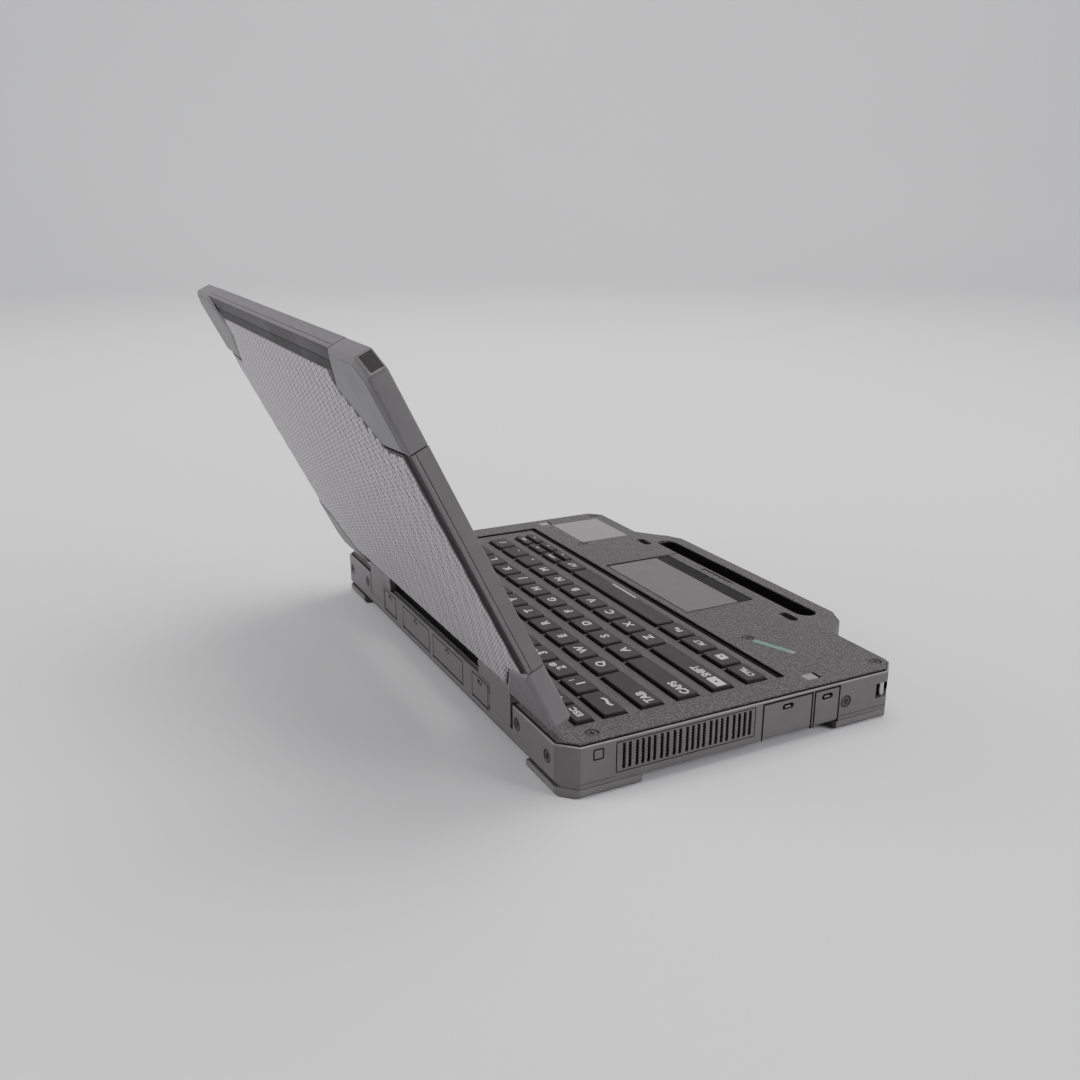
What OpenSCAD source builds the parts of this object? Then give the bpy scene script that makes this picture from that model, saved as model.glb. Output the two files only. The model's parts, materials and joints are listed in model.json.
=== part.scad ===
// Rugged laptop computer, lid open.
// Frame: origin at the centre of the base footprint on the plane the feet stand on,
// +X to the user's right, +Y to the rear, +Z up. Millimetres.

/* [Base] */
// Width of the base
base_w = 288; // [284:1:292]
// Depth of the base without the handle
base_d = 180.5; // [179:0.5:182]
// Height of the keyboard deck above the table
deck_z = 25.2; // [25:0.1:25.6]
// Height of the feet
foot_h = 4.6; // [4:0.1:5]
// Size of the cut corners
corner_cut = 8; // [6:0.5:9]
// Thickness of the bottom case walls
wall = 3; // [2.8:0.1:3.2]
// How far the carrying handle stands out of the front
handle_out = 22.5; // [20:0.5:23]

/* [Keyboard] */
// Spacing of the keys along a row
pitch = 19; // [18.8:0.1:19]
// Gap between neighbouring keys in a row
key_gap = 2.2; // [2:0.1:2.6]
// Spacing of the rows
row_pitch = 18.7; // [18.5:0.1:18.8]
// Depth of a key from rear to front
key_depth = 12; // [11:0.1:12.4]
// Height of the key tops above the table
key_top_z = 25.8; // [25.6:0.1:26.3]
// How far a key travels
key_travel = 1.5; // [1:0.1:1.6]

/* [Lid] */
// Angle between the closed lid and the lid as it stands
lid_open = 116; // [0:1:150]
// Distance from the hinge axis to the top edge of the lid
lid_len = 174.5; // [172:0.5:175]
// Height of the hinge axis above the table
hinge_z = 30.2; // [30:0.1:30.6]
// Distance from the rear face of the base to the hinge axis
hinge_in = 3; // [2.8:0.1:3.2]

/* [Hidden] */

$fn = 48;
eps = 0.05;
hx = base_w / 2;
hy = base_d / 2;
floor_z = foot_h + 2;
ledge_z = deck_z - 2.7;
rim_z = deck_z - 1.2;
hinge_y = hy - hinge_in;

// Colours
metal = [0.42, 0.40, 0.40];
deck_grey = [0.33, 0.31, 0.31];
bumper_grey = [0.47, 0.45, 0.45];
charcoal = [0.16, 0.15, 0.15];
steel = [0.62, 0.62, 0.64];
board_green = [0.10, 0.30, 0.20];

// Keyboard places
key_x0 = -125.7;
key_y0 = 61.1;
f_rear_y = 74.85;
key_foot_z = deck_z - 3.3;
web_z0 = deck_z - 4.4;
web_z1 = deck_z - 2;
key_block_w = 12.88;
tray_x = 128.6;
tray_y0 = -33.6;
tray_y1 = 78.8;

// Touchpad places
pad_x = 42.5;
pad_y0 = -72.8;
pad_y1 = -38.2;
pad_button_y0 = -81;
pad_button_y1 = -74.6;
pad_frame_y0 = -88.8;

// Doors: a door stands on its hinge axis and its outer face is door_face in front of it
door_face = 1.6;
door_t = 2;
door_pin_r = 0.6;
door_run = 0.05;
door_barrel_r = 1.5;
door_top_z = ledge_z - 0.4;
side_axis_z = foot_h + 1.75;
rear_axis_z = 11.35;
// Each door is [centre along its wall, width]
side_doors = [[-46, 13.4], [-23.6, 26.6]];
rear_doors = [[-61.8, 17.4], [-22, 38], [22, 38], [61.8, 17.4]];
right_doors = [[-23.6, 26.6]];

// Hinge places
block_x0 = 60.7;
block_x1 = 94.8;
leg_x0 = 72.5;
block_r = 3.4;
shaft_r = 1.6;
shaft_run = 0.05;
leg_z = 12;
slot_w = 2;

// Lid layers, measured from the hinge axis with the lid closed
lid_face = -4.6;
lid_seam = 1;
lid_back = 3;
panel_top = 3.7;
bumper_top = 4.4;
glass_face = -3.1;
lid_foot = 9;
lid_corner_foot = 1.5;
lid_cut = 7;
bumper_wall = 5;

// Screw places
deck_screw_at = [for (s = [-1, 1]) each [[s * 136.2, 72.6], [s * 84.6, -45.6],
    [s * 134.8, -82.2]]];
// Place along the wall and height of the wall screws
side_screw = [-57.4, 13.8];
rear_screws = [[-130, 15.7], [-101.5, 17]];

// A rectangle with its four corners cut off
module cut_rect(x, y, c) {
    polygon([[-x + c, -y], [x - c, -y], [x, -y + c], [x, y - c],
        [x - c, y], [-x + c, y], [-x, y - c], [-x, -y + c]]);
}

// The base outline, moved in by inset, between two heights
module base_slab(z0, z1, inset = 0) {
    translate([0, 0, z0]) linear_extrude(z1 - z0)
        cut_rect(hx - inset, hy - inset, corner_cut - 0.586 * inset);
}

// A block h high whose four sides lean in by lean at the top
module taper(x, y, h, lean) {
    xt = x - lean;
    yt = y - lean;
    polyhedron([[-x, -y, 0], [x, -y, 0], [x, y, 0], [-x, y, 0],
        [-xt, -yt, h], [xt, -yt, h], [xt, yt, h], [-xt, yt, h]],
        [[0, 1, 2, 3], [4, 7, 6, 5], [0, 4, 5, 1], [1, 5, 6, 2], [2, 6, 7, 3], [3, 7, 4, 0]]);
}

// A box from its low corner to its high corner
module span(a, b) {
    translate(a) cube(b - a);
}

// A flat-topped cylinder between two heights
module post(x, y, z0, z1, r) {
    translate([x, y, z0]) cylinder(h = z1 - z0, r = r);
}

// A slot with round ends lying along X, centred, cut downwards from z = 0
module stadium(len, w, depth) {
    translate([0, 0, -depth]) linear_extrude(depth + eps) {
        square([len - w, w], center = true);
        for (s = [-1, 1]) translate([s * (len - w) / 2, 0]) circle(d = w);
    }
}

// Copies on the left and on the right
module both_sides() {
    children();
    mirror([1, 0, 0]) children();
}

// Places a child, built with its outer face towards -Y, at a wall of the base
module on_right() { translate([hx, 0, 0]) rotate([0, 0, 90]) children(); }
module on_left() { mirror([1, 0, 0]) on_right() children(); }
module on_rear() { mirror([0, 1, 0]) translate([0, -hy, 0]) children(); }

// The hole in a wall for one door
module door_window(d, axis_z) {
    span([d[0] - d[1] / 2 - 0.25, -1, axis_z - 1.75 - eps],
        [d[0] + d[1] / 2 + 0.25, wall + 0.3, door_top_z + 0.2]);
}

// Finger recess of a door: [length, height, distance below the top edge]
side_pull = [6.4, 3, 3.2];
rear_pull = [5, 2.2, 1.9];

// One hinged port door, standing at the wall
module door(d, axis_z, pull = side_pull) {
    h = door_top_z - axis_z;
    translate([d[0], door_face, axis_z]) difference() {
        union() {
            span([-d[1] / 2, -door_face, 0], [d[1] / 2, door_t - door_face, h]);
            rotate([0, 90, 0]) cylinder(h = d[1], r = door_barrel_r, center = true);
        }
        rotate([0, 90, 0])
            cylinder(h = d[1] + 1, r = door_pin_r + door_run, center = true);
        translate([0, -door_face, h - pull[2]]) rotate([90, 0, 0])
            stadium(pull[0], pull[1], 1);
    }
}

// The steel pin of a row of doors
module door_pin(doors, axis_z) {
    ends = [for (d = doors) each [d[0] - d[1] / 2, d[0] + d[1] / 2]];
    translate([min(ends) - 1.8, door_face, axis_z]) rotate([0, 90, 0])
        cylinder(h = max(ends) - min(ends) + 3.6, r = door_pin_r);
}

// ---- Base ----

vent_y0 = -5.3;
vent_y1 = 65;
vent_z0 = 8.7;
vent_z1 = 22.2;
hatch = [[60, -6], [118, 50]];
bay = [[-76, -84], [76, -36.4]];
// Threaded holes for a mounting plate: half spacing, centre along Y, hole radius
plate_half = 50;
plate_y = 22;
plate_r = 1.65;

module screw_posts() {
    for (p = deck_screw_at) post(p[0], p[1], floor_z, ledge_z, 3);
}

module plate_posts(z0, r) {
    for (x = [-1, 1], y = [-1, 1])
        post(x * plate_half, plate_y + y * plate_half, z0, floor_z + 2.8, r);
}

module strap_blocks() {
    both_sides() span([-hx, -hy, floor_z - eps], [-hx + 13, -hy + 20, ledge_z]);
}

// Hole for a wall screw, with the recess of its head
module screw_hole() {
    cylinder(h = wall + 3, r = 1.25);
    cylinder(h = 1.2, r = 2.7);
}

module bottom_case() {
    color(metal) difference() {
        union() {
            difference() {
                intersection() {
                    base_slab(foot_h, rim_z);
                    rotate([90, 0, 90]) translate([0, 0, -hx]) linear_extrude(base_w)
                        polygon([[-hy + 2.5, foot_h], [hy - 2.5, foot_h],
                            [hy, foot_h + 2.3], [hy, rim_z], [-hy, rim_z],
                            [-hy, foot_h + 2.3]]);
                }
                difference() {
                    base_slab(floor_z, ledge_z + eps, wall);
                    screw_posts();
                    strap_blocks();
                }
                base_slab(ledge_z, rim_z + eps, 1.2);
            }
            plate_posts(floor_z - eps, 4);
            // Bosses behind the wall screws
            both_sides() {
                translate([-hx + wall - eps, side_screw[0], side_screw[1]])
                    rotate([0, 90, 0]) cylinder(h = 4, r = 3);
                for (p = rear_screws) translate([p[0], hy - wall + eps, p[1]])
                    rotate([90, 0, 0]) cylinder(h = 4, r = 3);
            }
        }
        for (p = deck_screw_at) post(p[0], p[1], ledge_z - 5, ledge_z + eps, 1.25);
        // Wall screws, with their head recesses
        both_sides() {
            translate([-hx - eps, side_screw[0], side_screw[1]]) rotate([0, 90, 0])
                screw_hole();
            for (p = rear_screws) translate([p[0], hy + eps, p[1]]) rotate([90, 0, 0])
                screw_hole();
        }
        // Vent, with a step for the grille
        on_left() {
            span([vent_y0, -1, vent_z0], [vent_y1, 1.6, vent_z1]);
            span([vent_y0 + 1.6, -1, vent_z0 + 1.2], [vent_y1 - 1.6, wall + 1, vent_z1 - 0.8]);
            for (d = side_doors) door_window(d, side_axis_z);
            door_pin(side_doors, side_axis_z);
        }
        on_right() {
            for (d = right_doors) door_window(d, side_axis_z);
            door_pin(right_doors, side_axis_z);
        }
        on_rear() for (d = rear_doors) {
            door_window(d, rear_axis_z);
            door_pin([d], rear_axis_z);
        }
        // Square ring groove at the rear of the left wall
        translate([-hx, 73.7, 19.2]) difference() {
            cube([0.8, 5, 5], center = true);
            cube([1, 3.8, 3.8], center = true);
        }
        // Notches for the hinge mounts
        both_sides() {
            span([-block_x1 - slot_w, hy - 7.2, leg_z], [-leg_x0 + 0.2, hy + 1, rim_z + 1]);
            span([-leg_x0, hy - 7.2, ledge_z + 1.2], [-block_x0 + 0.2, hy + 1, rim_z + 1]);
        }
        // Strap notches through the front corners
        both_sides() span([-hx - 1, -hy - 1, 11], [-hx + 7.6, -hy + 14.5, 18.4]);
        // Openings in the floor: service hatch, battery bay and battery latch
        span(concat(hatch[0], foot_h - 1), concat(hatch[1], floor_z + 1));
        span(concat(bay[0] - [0.3, 0.3], foot_h - 1), concat(bay[1] + [0.3, 0.3], floor_z + 1));
        translate([0, -31, floor_z]) cube([24, 6, 6], center = true);
        // Threaded plate holes, and the cable lock slot in the right wall
        plate_posts(foot_h - 1, plate_r);
        translate([hx, 40, 16]) cube([8, 7, 3], center = true);
    }
}

module top_deck() {
    color(deck_grey) difference() {
        intersection() {
            base_slab(ledge_z, deck_z, 1.4);
            rotate([90, 0, 90]) translate([0, 0, -hx]) linear_extrude(base_w)
                polygon([[-hy, 0], [hy, 0], [hy, deck_z - 2.4], [hy - 3.6, deck_z],
                    [-hy + 1.8, deck_z], [-hy + 1.2, deck_z - 0.6]]);
        }
        span([-tray_x, tray_y0, 0], [tray_x, tray_y1, deck_z + 1]);
        span([-pad_x - 0.3, pad_frame_y0 - 0.2, 0], [pad_x + 0.3, pad_y1 + 0.6, deck_z + 1]);
        for (p = deck_screw_at) {
            post(p[0], p[1], 0, deck_z + 1, 1.5);
            post(p[0], p[1], deck_z - 1.1, deck_z + 1, 3.1);
        }
        both_sides() {
            span([-block_x1 - slot_w, hy - 7.2, 0], [-block_x0 + 0.2, hy, deck_z + 1]);
            // Recess for a lid hook
            translate([-71, -82.3, deck_z]) stadium(12.5, 5, 4);
            // Small rubbing patch beside the keyboard
            span([-137, -48, deck_z - 0.3], [-131, -40, deck_z + 1]);
        }
    }
}

// Bar and two legs in one piece; the slot between them is the finger gap
handle_z0 = 12;
handle_top = deck_z - 2.4;
handle_edge = 0.9;
grip_d = 13.4;
grip_r = grip_d / 2;
grip_x = 72 - grip_r;

module carry_handle() {
    y1 = -hy - handle_out;
    color(deck_grey) difference() {
        intersection() {
            translate([0, 0, handle_z0]) linear_extrude(deck_z)
                polygon([[-96.5, -hy], [-82.6, -hy - 16.8], [-70.6, y1], [70.6, y1],
                    [82.6, -hy - 16.8], [96.5, -hy]]);
            // Side profile: level with the rim at its root, lower along the bar
            rotate([90, 0, 90]) translate([0, 0, -hx]) linear_extrude(base_w)
                polygon([[-hy, handle_z0], [-hy, rim_z], [-hy - grip_d, handle_top],
                    [y1 + handle_edge, handle_top], [y1, handle_top - handle_edge],
                    [y1, handle_z0 + handle_edge], [y1 + handle_edge, handle_z0]]);
        }
        translate([0, 0, handle_z0 - 1]) linear_extrude(deck_z) {
            translate([-grip_x, -hy - grip_d]) square([2 * grip_x, grip_d + eps]);
            for (s = [-1, 1]) translate([s * grip_x, -hy - grip_r]) circle(r = grip_r);
        }
    }
}

module corner_feet() {
    module foot(y0, y1) {
        intersection() {
            base_slab(0, foot_h);
            span([-hx, y0, 0], [-hx + 34, y1, foot_h]);
            rotate([90, 0, 90]) translate([0, 0, -hx]) linear_extrude(base_w)
                polygon([[-hy + 1.6, 0], [hy - 1.6, 0], [hy, 1.6], [hy, 6], [-hy, 6],
                    [-hy, 1.6]]);
            rotate([90, 0, 0]) translate([0, 0, -hy]) linear_extrude(base_d)
                polygon([[-hx + 1.6, 0], [hx, 0], [hx, 6], [-hx, 6], [-hx, 1.6]]);
        }
    }
    color(bumper_grey) both_sides() {
        foot(52, hy);
        foot(-hy, -52.7);
    }
}

module strap_posts() {
    color(steel) both_sides() post(-hx + 2.9, -81, 11, 18.4, 1.4);
}

// ---- Keyboard ----

// Keys of one row as [left edge, width] in key pitches
function run(start, n, w = 1) = [for (i = [0 : n - 1]) [start + i * w, w]];
f_w = key_block_w / 14;
function_row = run(0, 13, f_w);
number_row = concat([[0, 1.26]], run(1.26, 10), run(11.26, 2, 0.81));
tab_row = concat([[0, 1.98]], run(1.98, 10), [[11.98, 0.9]]);
caps_row = concat([[0, 2.46]], run(2.46, 9), [[11.46, 1.42]]);
shift_row = concat([[0, 2.88]], run(2.88, 10));
bottom_row = concat(run(0, 4), [[8.88, 1]]);
space_key = [[4, 4.88]];
arrow_columns = run(9.88, 3);
power_key = [[13 * f_w, f_w]];
f_depth = 9.4;
arrow_depth = 5.8;
arrow_rear_y = -13.1;
arrow_front_y = -20.75;

// One keycap, slightly narrower at the top; grow makes the hole it moves in
module keycap(k, y_rear, depth, grow = 0) {
    w = k[1] * pitch - key_gap;
    x = key_x0 + k[0] * pitch;
    translate([x + w / 2, y_rear - depth / 2, key_foot_z]) {
        if (grow > 0)
            translate([0, 0, -3]) linear_extrude(8)
                square([w + 2 * grow, depth + 2 * grow], center = true);
        else
            taper(w / 2, depth / 2, key_top_z - key_foot_z, 0.45);
    }
}

module key_row(keys, y_rear, depth = key_depth, grow = 0) {
    for (k = keys) keycap(k, y_rear, depth, grow);
}

function row_y(r) = key_y0 - r * row_pitch;

module arrow_cluster(grow = 0) {
    key_row(arrow_columns, arrow_rear_y, arrow_depth, grow);
    key_row(arrow_columns, arrow_front_y, arrow_depth, grow);
}

module keys_function_row() { color(charcoal) key_row(function_row, f_rear_y, f_depth); }
module keys_number_row() { color(charcoal) key_row(number_row, row_y(0)); }
module keys_tab_row() { color(charcoal) key_row(tab_row, row_y(1)); }
module keys_caps_row() { color(charcoal) key_row(caps_row, row_y(2)); }
module keys_shift_row() { color(charcoal) key_row(shift_row, row_y(3)); }
module keys_bottom_row() { color(charcoal) key_row(bottom_row, row_y(4)); }
module space_bar() { color(charcoal) key_row(space_key, row_y(4)); }
module arrow_keys() { color(charcoal) arrow_cluster(); }
module power_button() { color(charcoal) key_row(power_key, f_rear_y, f_depth); }

module keyboard_frame() {
    g = 0.35;
    color(deck_grey) difference() {
        span([-tray_x + 0.3, tray_y0 + 1.2, web_z0], [tray_x - 0.3, tray_y1 - 0.3, web_z1]);
        key_row(concat(function_row, power_key), f_rear_y, f_depth, g);
        key_row(number_row, row_y(0), key_depth, g);
        key_row(tab_row, row_y(1), key_depth, g);
        key_row(caps_row, row_y(2), key_depth, g);
        key_row(shift_row, row_y(3), key_depth, g);
        key_row(concat(bottom_row, space_key), row_y(4), key_depth, g);
        arrow_cluster(g);
    }
}

module keyboard_backplate() {
    x = tray_x - 0.3;
    color(charcoal) {
        span([-x, tray_y0 - 2.4, web_z0 - 1], [x, tray_y1 + 2.2, web_z0 - 0.6]);
        // Rails that hang it from the deck
        span([-x, tray_y0 - 2.4, web_z0 - 0.7], [x, tray_y0 - 0.1, ledge_z]);
        span([-x, tray_y1 + 0.1, web_z0 - 0.7], [x, tray_y1 + 2.2, ledge_z]);
        // Rails that carry the frame
        span([-x, tray_y0 + 1.2, web_z0 - 0.7], [x, tray_y0 + 2.2, web_z0]);
        span([-x, tray_y1 - 1.3, web_z0 - 0.7], [x, tray_y1 - 0.3, web_z0]);
    }
}

// ---- Touchpad ----

module touchpad_frame() {
    color(deck_grey) difference() {
        span([-pad_x, pad_frame_y0, deck_z - 2.7], [pad_x, pad_y1 + 0.4, deck_z - 0.25]);
        span([-pad_x + 0.8, pad_y0, deck_z - 1.6], [pad_x - 0.8, pad_y1 - 0.4, deck_z]);
        for (s = [-1, 1]) translate([s * 21, (pad_button_y0 + pad_button_y1) / 2, deck_z - 1.5])
            cube([41.2, 6.8, 6], center = true);
        translate([-2.2, -85.6, deck_z - 0.25]) stadium(28.6, 3.2, 0.9);
    }
}

module touchpad_surface() {
    color(metal) span([-pad_x + 0.9, pad_y0 + 0.1, deck_z - 1.6],
        [pad_x - 0.9, pad_y1 - 0.5, deck_z - 0.35]);
}

module touchpad_button(s) {
    color(charcoal) translate([s * 21, (pad_button_y0 + pad_button_y1) / 2, deck_z - 1])
        cube([40.8, 6.4, 1.5], center = true);
}

module touchpad_button_left() { touchpad_button(-1); }
module touchpad_button_right() { touchpad_button(1); }

module status_light_bar() {
    color(steel) translate([-2.2, -85.6, deck_z - 0.75]) stadium(28.4, 3, 0.4);
}

// ---- Screws and vent ----

module screw(len, head_r = 2.55) {
    difference() {
        union() {
            translate([0, 0, -0.9]) cylinder(h = 0.9, r = head_r);
            translate([0, 0, -len]) cylinder(h = len, r = 1.25);
        }
        for (a = [0, 90]) rotate([0, 0, a])
            translate([-1.5, -0.3, -0.5]) cube([3, 0.6, 1]);
    }
}

// Screws of the deck and of the side and rear walls
module case_screws() {
    color(steel) {
        for (p = deck_screw_at) translate([p[0], p[1], deck_z - 0.2]) screw(6.5);
        both_sides() {
            translate([-hx + 0.25, side_screw[0], side_screw[1]]) rotate([0, -90, 0]) screw(5);
            for (p = rear_screws) translate([p[0], hy - 0.25, p[1]]) rotate([-90, 0, 0]) screw(5);
        }
    }
}

// Slots come in groups; each number is how many slots stand together
slot_groups = [4, 4, 4, 2, 2, 4, 2];
slot_pitch = 2.88;
group_extra = 0.62;
slot_at = [for (g = [0 : len(slot_groups) - 1], i = [0 : slot_groups[g] - 1])
    let (before = g == 0 ? 0 : [for (a = 0, n = 0; a < g; n = n + slot_groups[a], a = a + 1)
        n + slot_groups[a]][g - 1])
    (before + i) * slot_pitch + g * group_extra];

module vent_grille() {
    color(metal) on_left() difference() {
        span([vent_y0 + 0.1, 0, vent_z0 + 0.1], [vent_y1 - 0.1, 1.6, vent_z1 - 0.1]);
        for (s = slot_at) translate([-2.6 + s, 0, (vent_z0 + vent_z1) / 2 + 0.2])
            rotate([90, 90, 0]) translate([0, 0, eps]) stadium(10.8, 1.7, 2);
    }
}

fin_x0 = -hx + wall + 0.3;
fin_x1 = fin_x0 + 9.5;

module heatsink_fins() {
    color(steel) {
        span([fin_x0, vent_y0 + 1, 8.2], [fin_x1, vent_y1 - 1, 9]);
        span([fin_x0, vent_y0 + 1, 20.4], [fin_x1, vent_y1 - 1, 21.2]);
        for (y = [vent_y0 + 1 : 2 : vent_y1 - 1.5])
            span([fin_x0, y, 8.6], [fin_x1, y + 0.4, 20.8]);
    }
}

// ---- Inside the base ----

fan_x = -103;
fan_y = 34;
fan_r = 24;

module heat_pipe() {
    color([0.6, 0.35, 0.2]) {
        span([fin_x0 + 2, -2, 21.2], [fin_x1 - 1, vent_y1 - 4, 22.4]);
        span([fin_x1 - 1 - eps, -2, 21.2], [-130, 6, 22.4]);
        span([-131, -2, 13], [-130, 6, 22.4]);
        span([-131, -2, 12], [-40, 6, 13]);
    }
}

module fan_housing() {
    color(charcoal) difference() {
        union() {
            difference() {
                span([fin_x1 + 0.3, fan_y - 26, 8], [fan_x + 26, fan_y + 26, 18.4]);
                post(fan_x, fan_y, 9, 17.6, fan_r + 0.8);
                span([fin_x1 - 1, fan_y - 20, 9], [fan_x, fan_y + 20, 17.6]);
                post(fan_x, fan_y, 17, 19, 16);
            }
            post(fan_x, fan_y, 8.5, 17, 1.5);
        }
    }
}

module fan_rotor() {
    color([0.12, 0.12, 0.12]) difference() {
        union() {
            post(fan_x, fan_y, 9.4, 17, 8.5);
            translate([fan_x, fan_y, 9.8]) for (i = [0 : 10]) rotate([0, 0, i * 360 / 11])
                translate([8, -0.4, 0]) rotate([0, 0, 12]) cube([15.5, 0.8, 6.6]);
        }
        post(fan_x, fan_y, 9, 18, 1.55);
    }
}

module motherboard() {
    color(board_green) difference() {
        span([-72, -30, 9.6], [136, 69, 11.2]);
        for (x = [-60, 125], y = [-22, 62]) post(x, y, 9, 12, 1.6);
        span([106, -31, 9], [137, -8, 12]);
    }
    color(charcoal) {
        span([-64, -12, 11.2 - eps], [-40, 12, 12]);
        span([60, 20, 11.2 - eps], [84, 44, 13]);
    }
}

module memory_module() {
    color(board_green) span([64, 0, 7.2], [114, 28, 8.2]);
    color(charcoal) {
        span([64, 28 - eps, 6.9], [114, 33, 9.6]);
        for (x = [68, 82, 96]) span([x, 6, 8.2 - eps], [x + 10, 20, 9]);
    }
}

module solid_state_drive() {
    color(charcoal) span([20, 34, 11.4], [42, 68, 14]);
}

module battery_pack() {
    color([0.2, 0.2, 0.21]) difference() {
        span(concat(bay[0], foot_h), concat(bay[1], 20.6));
        for (i = [0 : 3]) span([-64 + i * 34, bay[0][1] + 6, 20.2],
            [-38 + i * 34, bay[1][1] - 6, 21]);
    }
}

module battery_latch() {
    color(charcoal) {
        span([-7, -33.8, foot_h + 0.2], [3, -28.2, foot_h + 2]);
        span([-6, -33, foot_h + 2 - eps], [2, -29, foot_h + 3.4]);
    }
}

module service_cover() {
    color(metal) difference() {
        translate([hatch[0][0] + 0.2, hatch[0][1] + 0.2, foot_h])
            cube([hatch[1][0] - hatch[0][0] - 0.4, hatch[1][1] - hatch[0][1] - 0.4, 2]);
        for (i = [0 : 5]) translate([22 + i * 7.6, 22, foot_h - 1]) cube([2.4, 20, 1.6]);
    }
}

module speakers() {
    color(charcoal) both_sides() difference() {
        span([-128, -84, floor_z + 0.4], [-92, -62, 15]);
        post(-110, -73, 13.6, 16, 8);
    }
}

// A socket standing in a bracket, mouth towards -Y
module socket(x, z, w, h, depth, tongue) {
    translate([x, 0, z]) {
        difference() {
            translate([-w / 2, 0, -h / 2]) cube([w, depth, h]);
            translate([-w / 2 + 0.6, -1, -h / 2 + 0.6]) cube([w - 1.2, depth, h - 1.2]);
        }
        if (tongue > 0)
            translate([-w / 2 + 1.6, 1, -tongue / 2]) cube([w - 3.2, depth - 1 - eps, tongue]);
    }
}

module bracket(x0, x1, z0, z1, cuts) {
    difference() {
        span([x0, wall + 2, z0], [x1, wall + 3, z1]);
        for (c = cuts) translate([c[0] - c[2] / 2 + 0.3, 0, c[1] - c[3] / 2 + 0.3])
            cube([c[2] - 0.6, 10, c[3] - 0.6]);
    }
}

module socket_bank(x0, x1, z0, z1, list) {
    bracket(x0, x1, z0, z1, list);
    translate([0, wall + 0.5, 0]) for (c = list) socket(c[0], c[1], c[2], c[3], c[4], c[5]);
}

// Each socket is [place, height, width, tall, deep, tongue]
network_socket = [-29, 14, 15, 11, 15, 0];
side_sockets = [[-46, 14, 9.4, 3.8, 9, 0.7], [-16.6, 14, 6.6, 11, 15, 2], network_socket];
right_sockets = [[-30, 14, 10, 3.8, 9, 0.7], [-17.5, 14, 8, 8, 13, 0]];
rear_z = 14.5;
rear_sockets = [[-61.8, rear_z, 13, 5.8, 13, 1.8], [-30.5, rear_z, 13, 5.8, 13, 1.8],
    [-13.5, rear_z, 14, 5.4, 11, 1.6], [22, rear_z, 31, 9, 11, 5]];
jack_x = 61.8;
jack_r = 2.8;

module side_port_sockets() {
    color(charcoal) {
        on_left() socket_bank(-53, -10, floor_z, door_top_z, side_sockets);
        on_right() socket_bank(-38, -10, floor_z, door_top_z, right_sockets);
    }
}

module rear_port_sockets() {
    color(charcoal) on_rear() {
        socket_bank(-70, 70, floor_z, door_top_z - 2.5, concat(rear_sockets,
            [[jack_x, rear_z, 9.2, 9.2, 3, 0]]));
        translate([jack_x, wall + 3, rear_z]) difference() {
            translate([-4.6, 0, -4.6]) cube([9.2, 9, 9.2]);
            translate([0, -1, 0]) rotate([-90, 0, 0]) cylinder(h = 9, r = jack_r);
        }
    }
}

module side_door_small() { color(metal) on_left() door(side_doors[0], side_axis_z); }
module side_door_large() { color(metal) on_left() door(side_doors[1], side_axis_z); }
module right_door() { color(metal) on_right() door(right_doors[0], side_axis_z); }
module rear_door_1() { color(metal) on_rear() door(rear_doors[0], rear_axis_z, rear_pull); }
module rear_door_2() { color(metal) on_rear() door(rear_doors[1], rear_axis_z, rear_pull); }
module rear_door_3() { color(metal) on_rear() door(rear_doors[2], rear_axis_z, rear_pull); }
module rear_door_4() { color(metal) on_rear() door(rear_doors[3], rear_axis_z, rear_pull); }

module door_hinge_pins() {
    color(steel) {
        on_left() door_pin(side_doors, side_axis_z);
        on_right() door_pin(right_doors, side_axis_z);
        on_rear() for (d = rear_doors) door_pin([d], rear_axis_z);
    }
}

// ---- Hinges ----

// Dark strip between the hinge mounts that covers the cables to the lid
module hinge_cover() {
    x = block_x0 - 0.5;
    color(charcoal) rotate([90, 0, 90]) translate([0, 0, -x]) linear_extrude(2 * x)
        polygon([[hinge_y - 5, deck_z], [hy - 3.9, deck_z], [hy - 3.9, hinge_z + 2.6],
            [hy - 5.1, hinge_z + 3.8], [hinge_y - 3.8, hinge_z + 3.8],
            [hinge_y - 5, hinge_z + 2.6]]);
}

module hinge_mount() {
    color(metal) difference() {
        union() {
            translate([-block_x1, hinge_y, hinge_z]) rotate([0, 90, 0])
                cylinder(h = block_x1 - block_x0, r = block_r);
            span([-block_x1, hinge_y - block_r, ledge_z + 1.4], [-block_x0, hy, hinge_z]);
            span([-block_x1, hinge_y - block_r, leg_z + 0.2], [-leg_x0, hy, ledge_z + 1.5]);
        }
        translate([-block_x1 - 1, hinge_y, hinge_z]) rotate([0, 90, 0])
            cylinder(h = 21, r = shaft_r);
    }
}

module hinge_mount_left() { hinge_mount(); }
module hinge_mount_right() { mirror([1, 0, 0]) hinge_mount(); }

module lid_hinge_shafts() {
    color(steel) both_sides() translate([-block_x1 - 9, hinge_y, hinge_z])
        rotate([0, 90, 0]) cylinder(h = 29, r = shaft_r);
}

// ---- Lid, drawn closed with the hinge axis at the origin and the front at -Y ----

module lid_pose() {
    translate([0, hinge_y, hinge_z]) rotate([-lid_open, 0, 0]) children();
}

// Lid outline: full width, stepped down at the hinges
module lid_outline(inset = 0) {
    x = hx - inset;
    v0 = lid_corner_foot + inset;
    v1 = lid_len - inset;
    c = lid_cut - 0.586 * inset;
    xi = block_x1 + 0.7;
    polygon([[-x, -v0 - c], [-x + c, -v0], [-xi, -v0], [-xi, -lid_foot], [xi, -lid_foot],
        [xi, -v0], [x - c, -v0], [x, -v0 - c], [x, -v1 + c], [x - c, -v1],
        [-x + c, -v1], [-x, -v1 + c]]);
}

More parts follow.
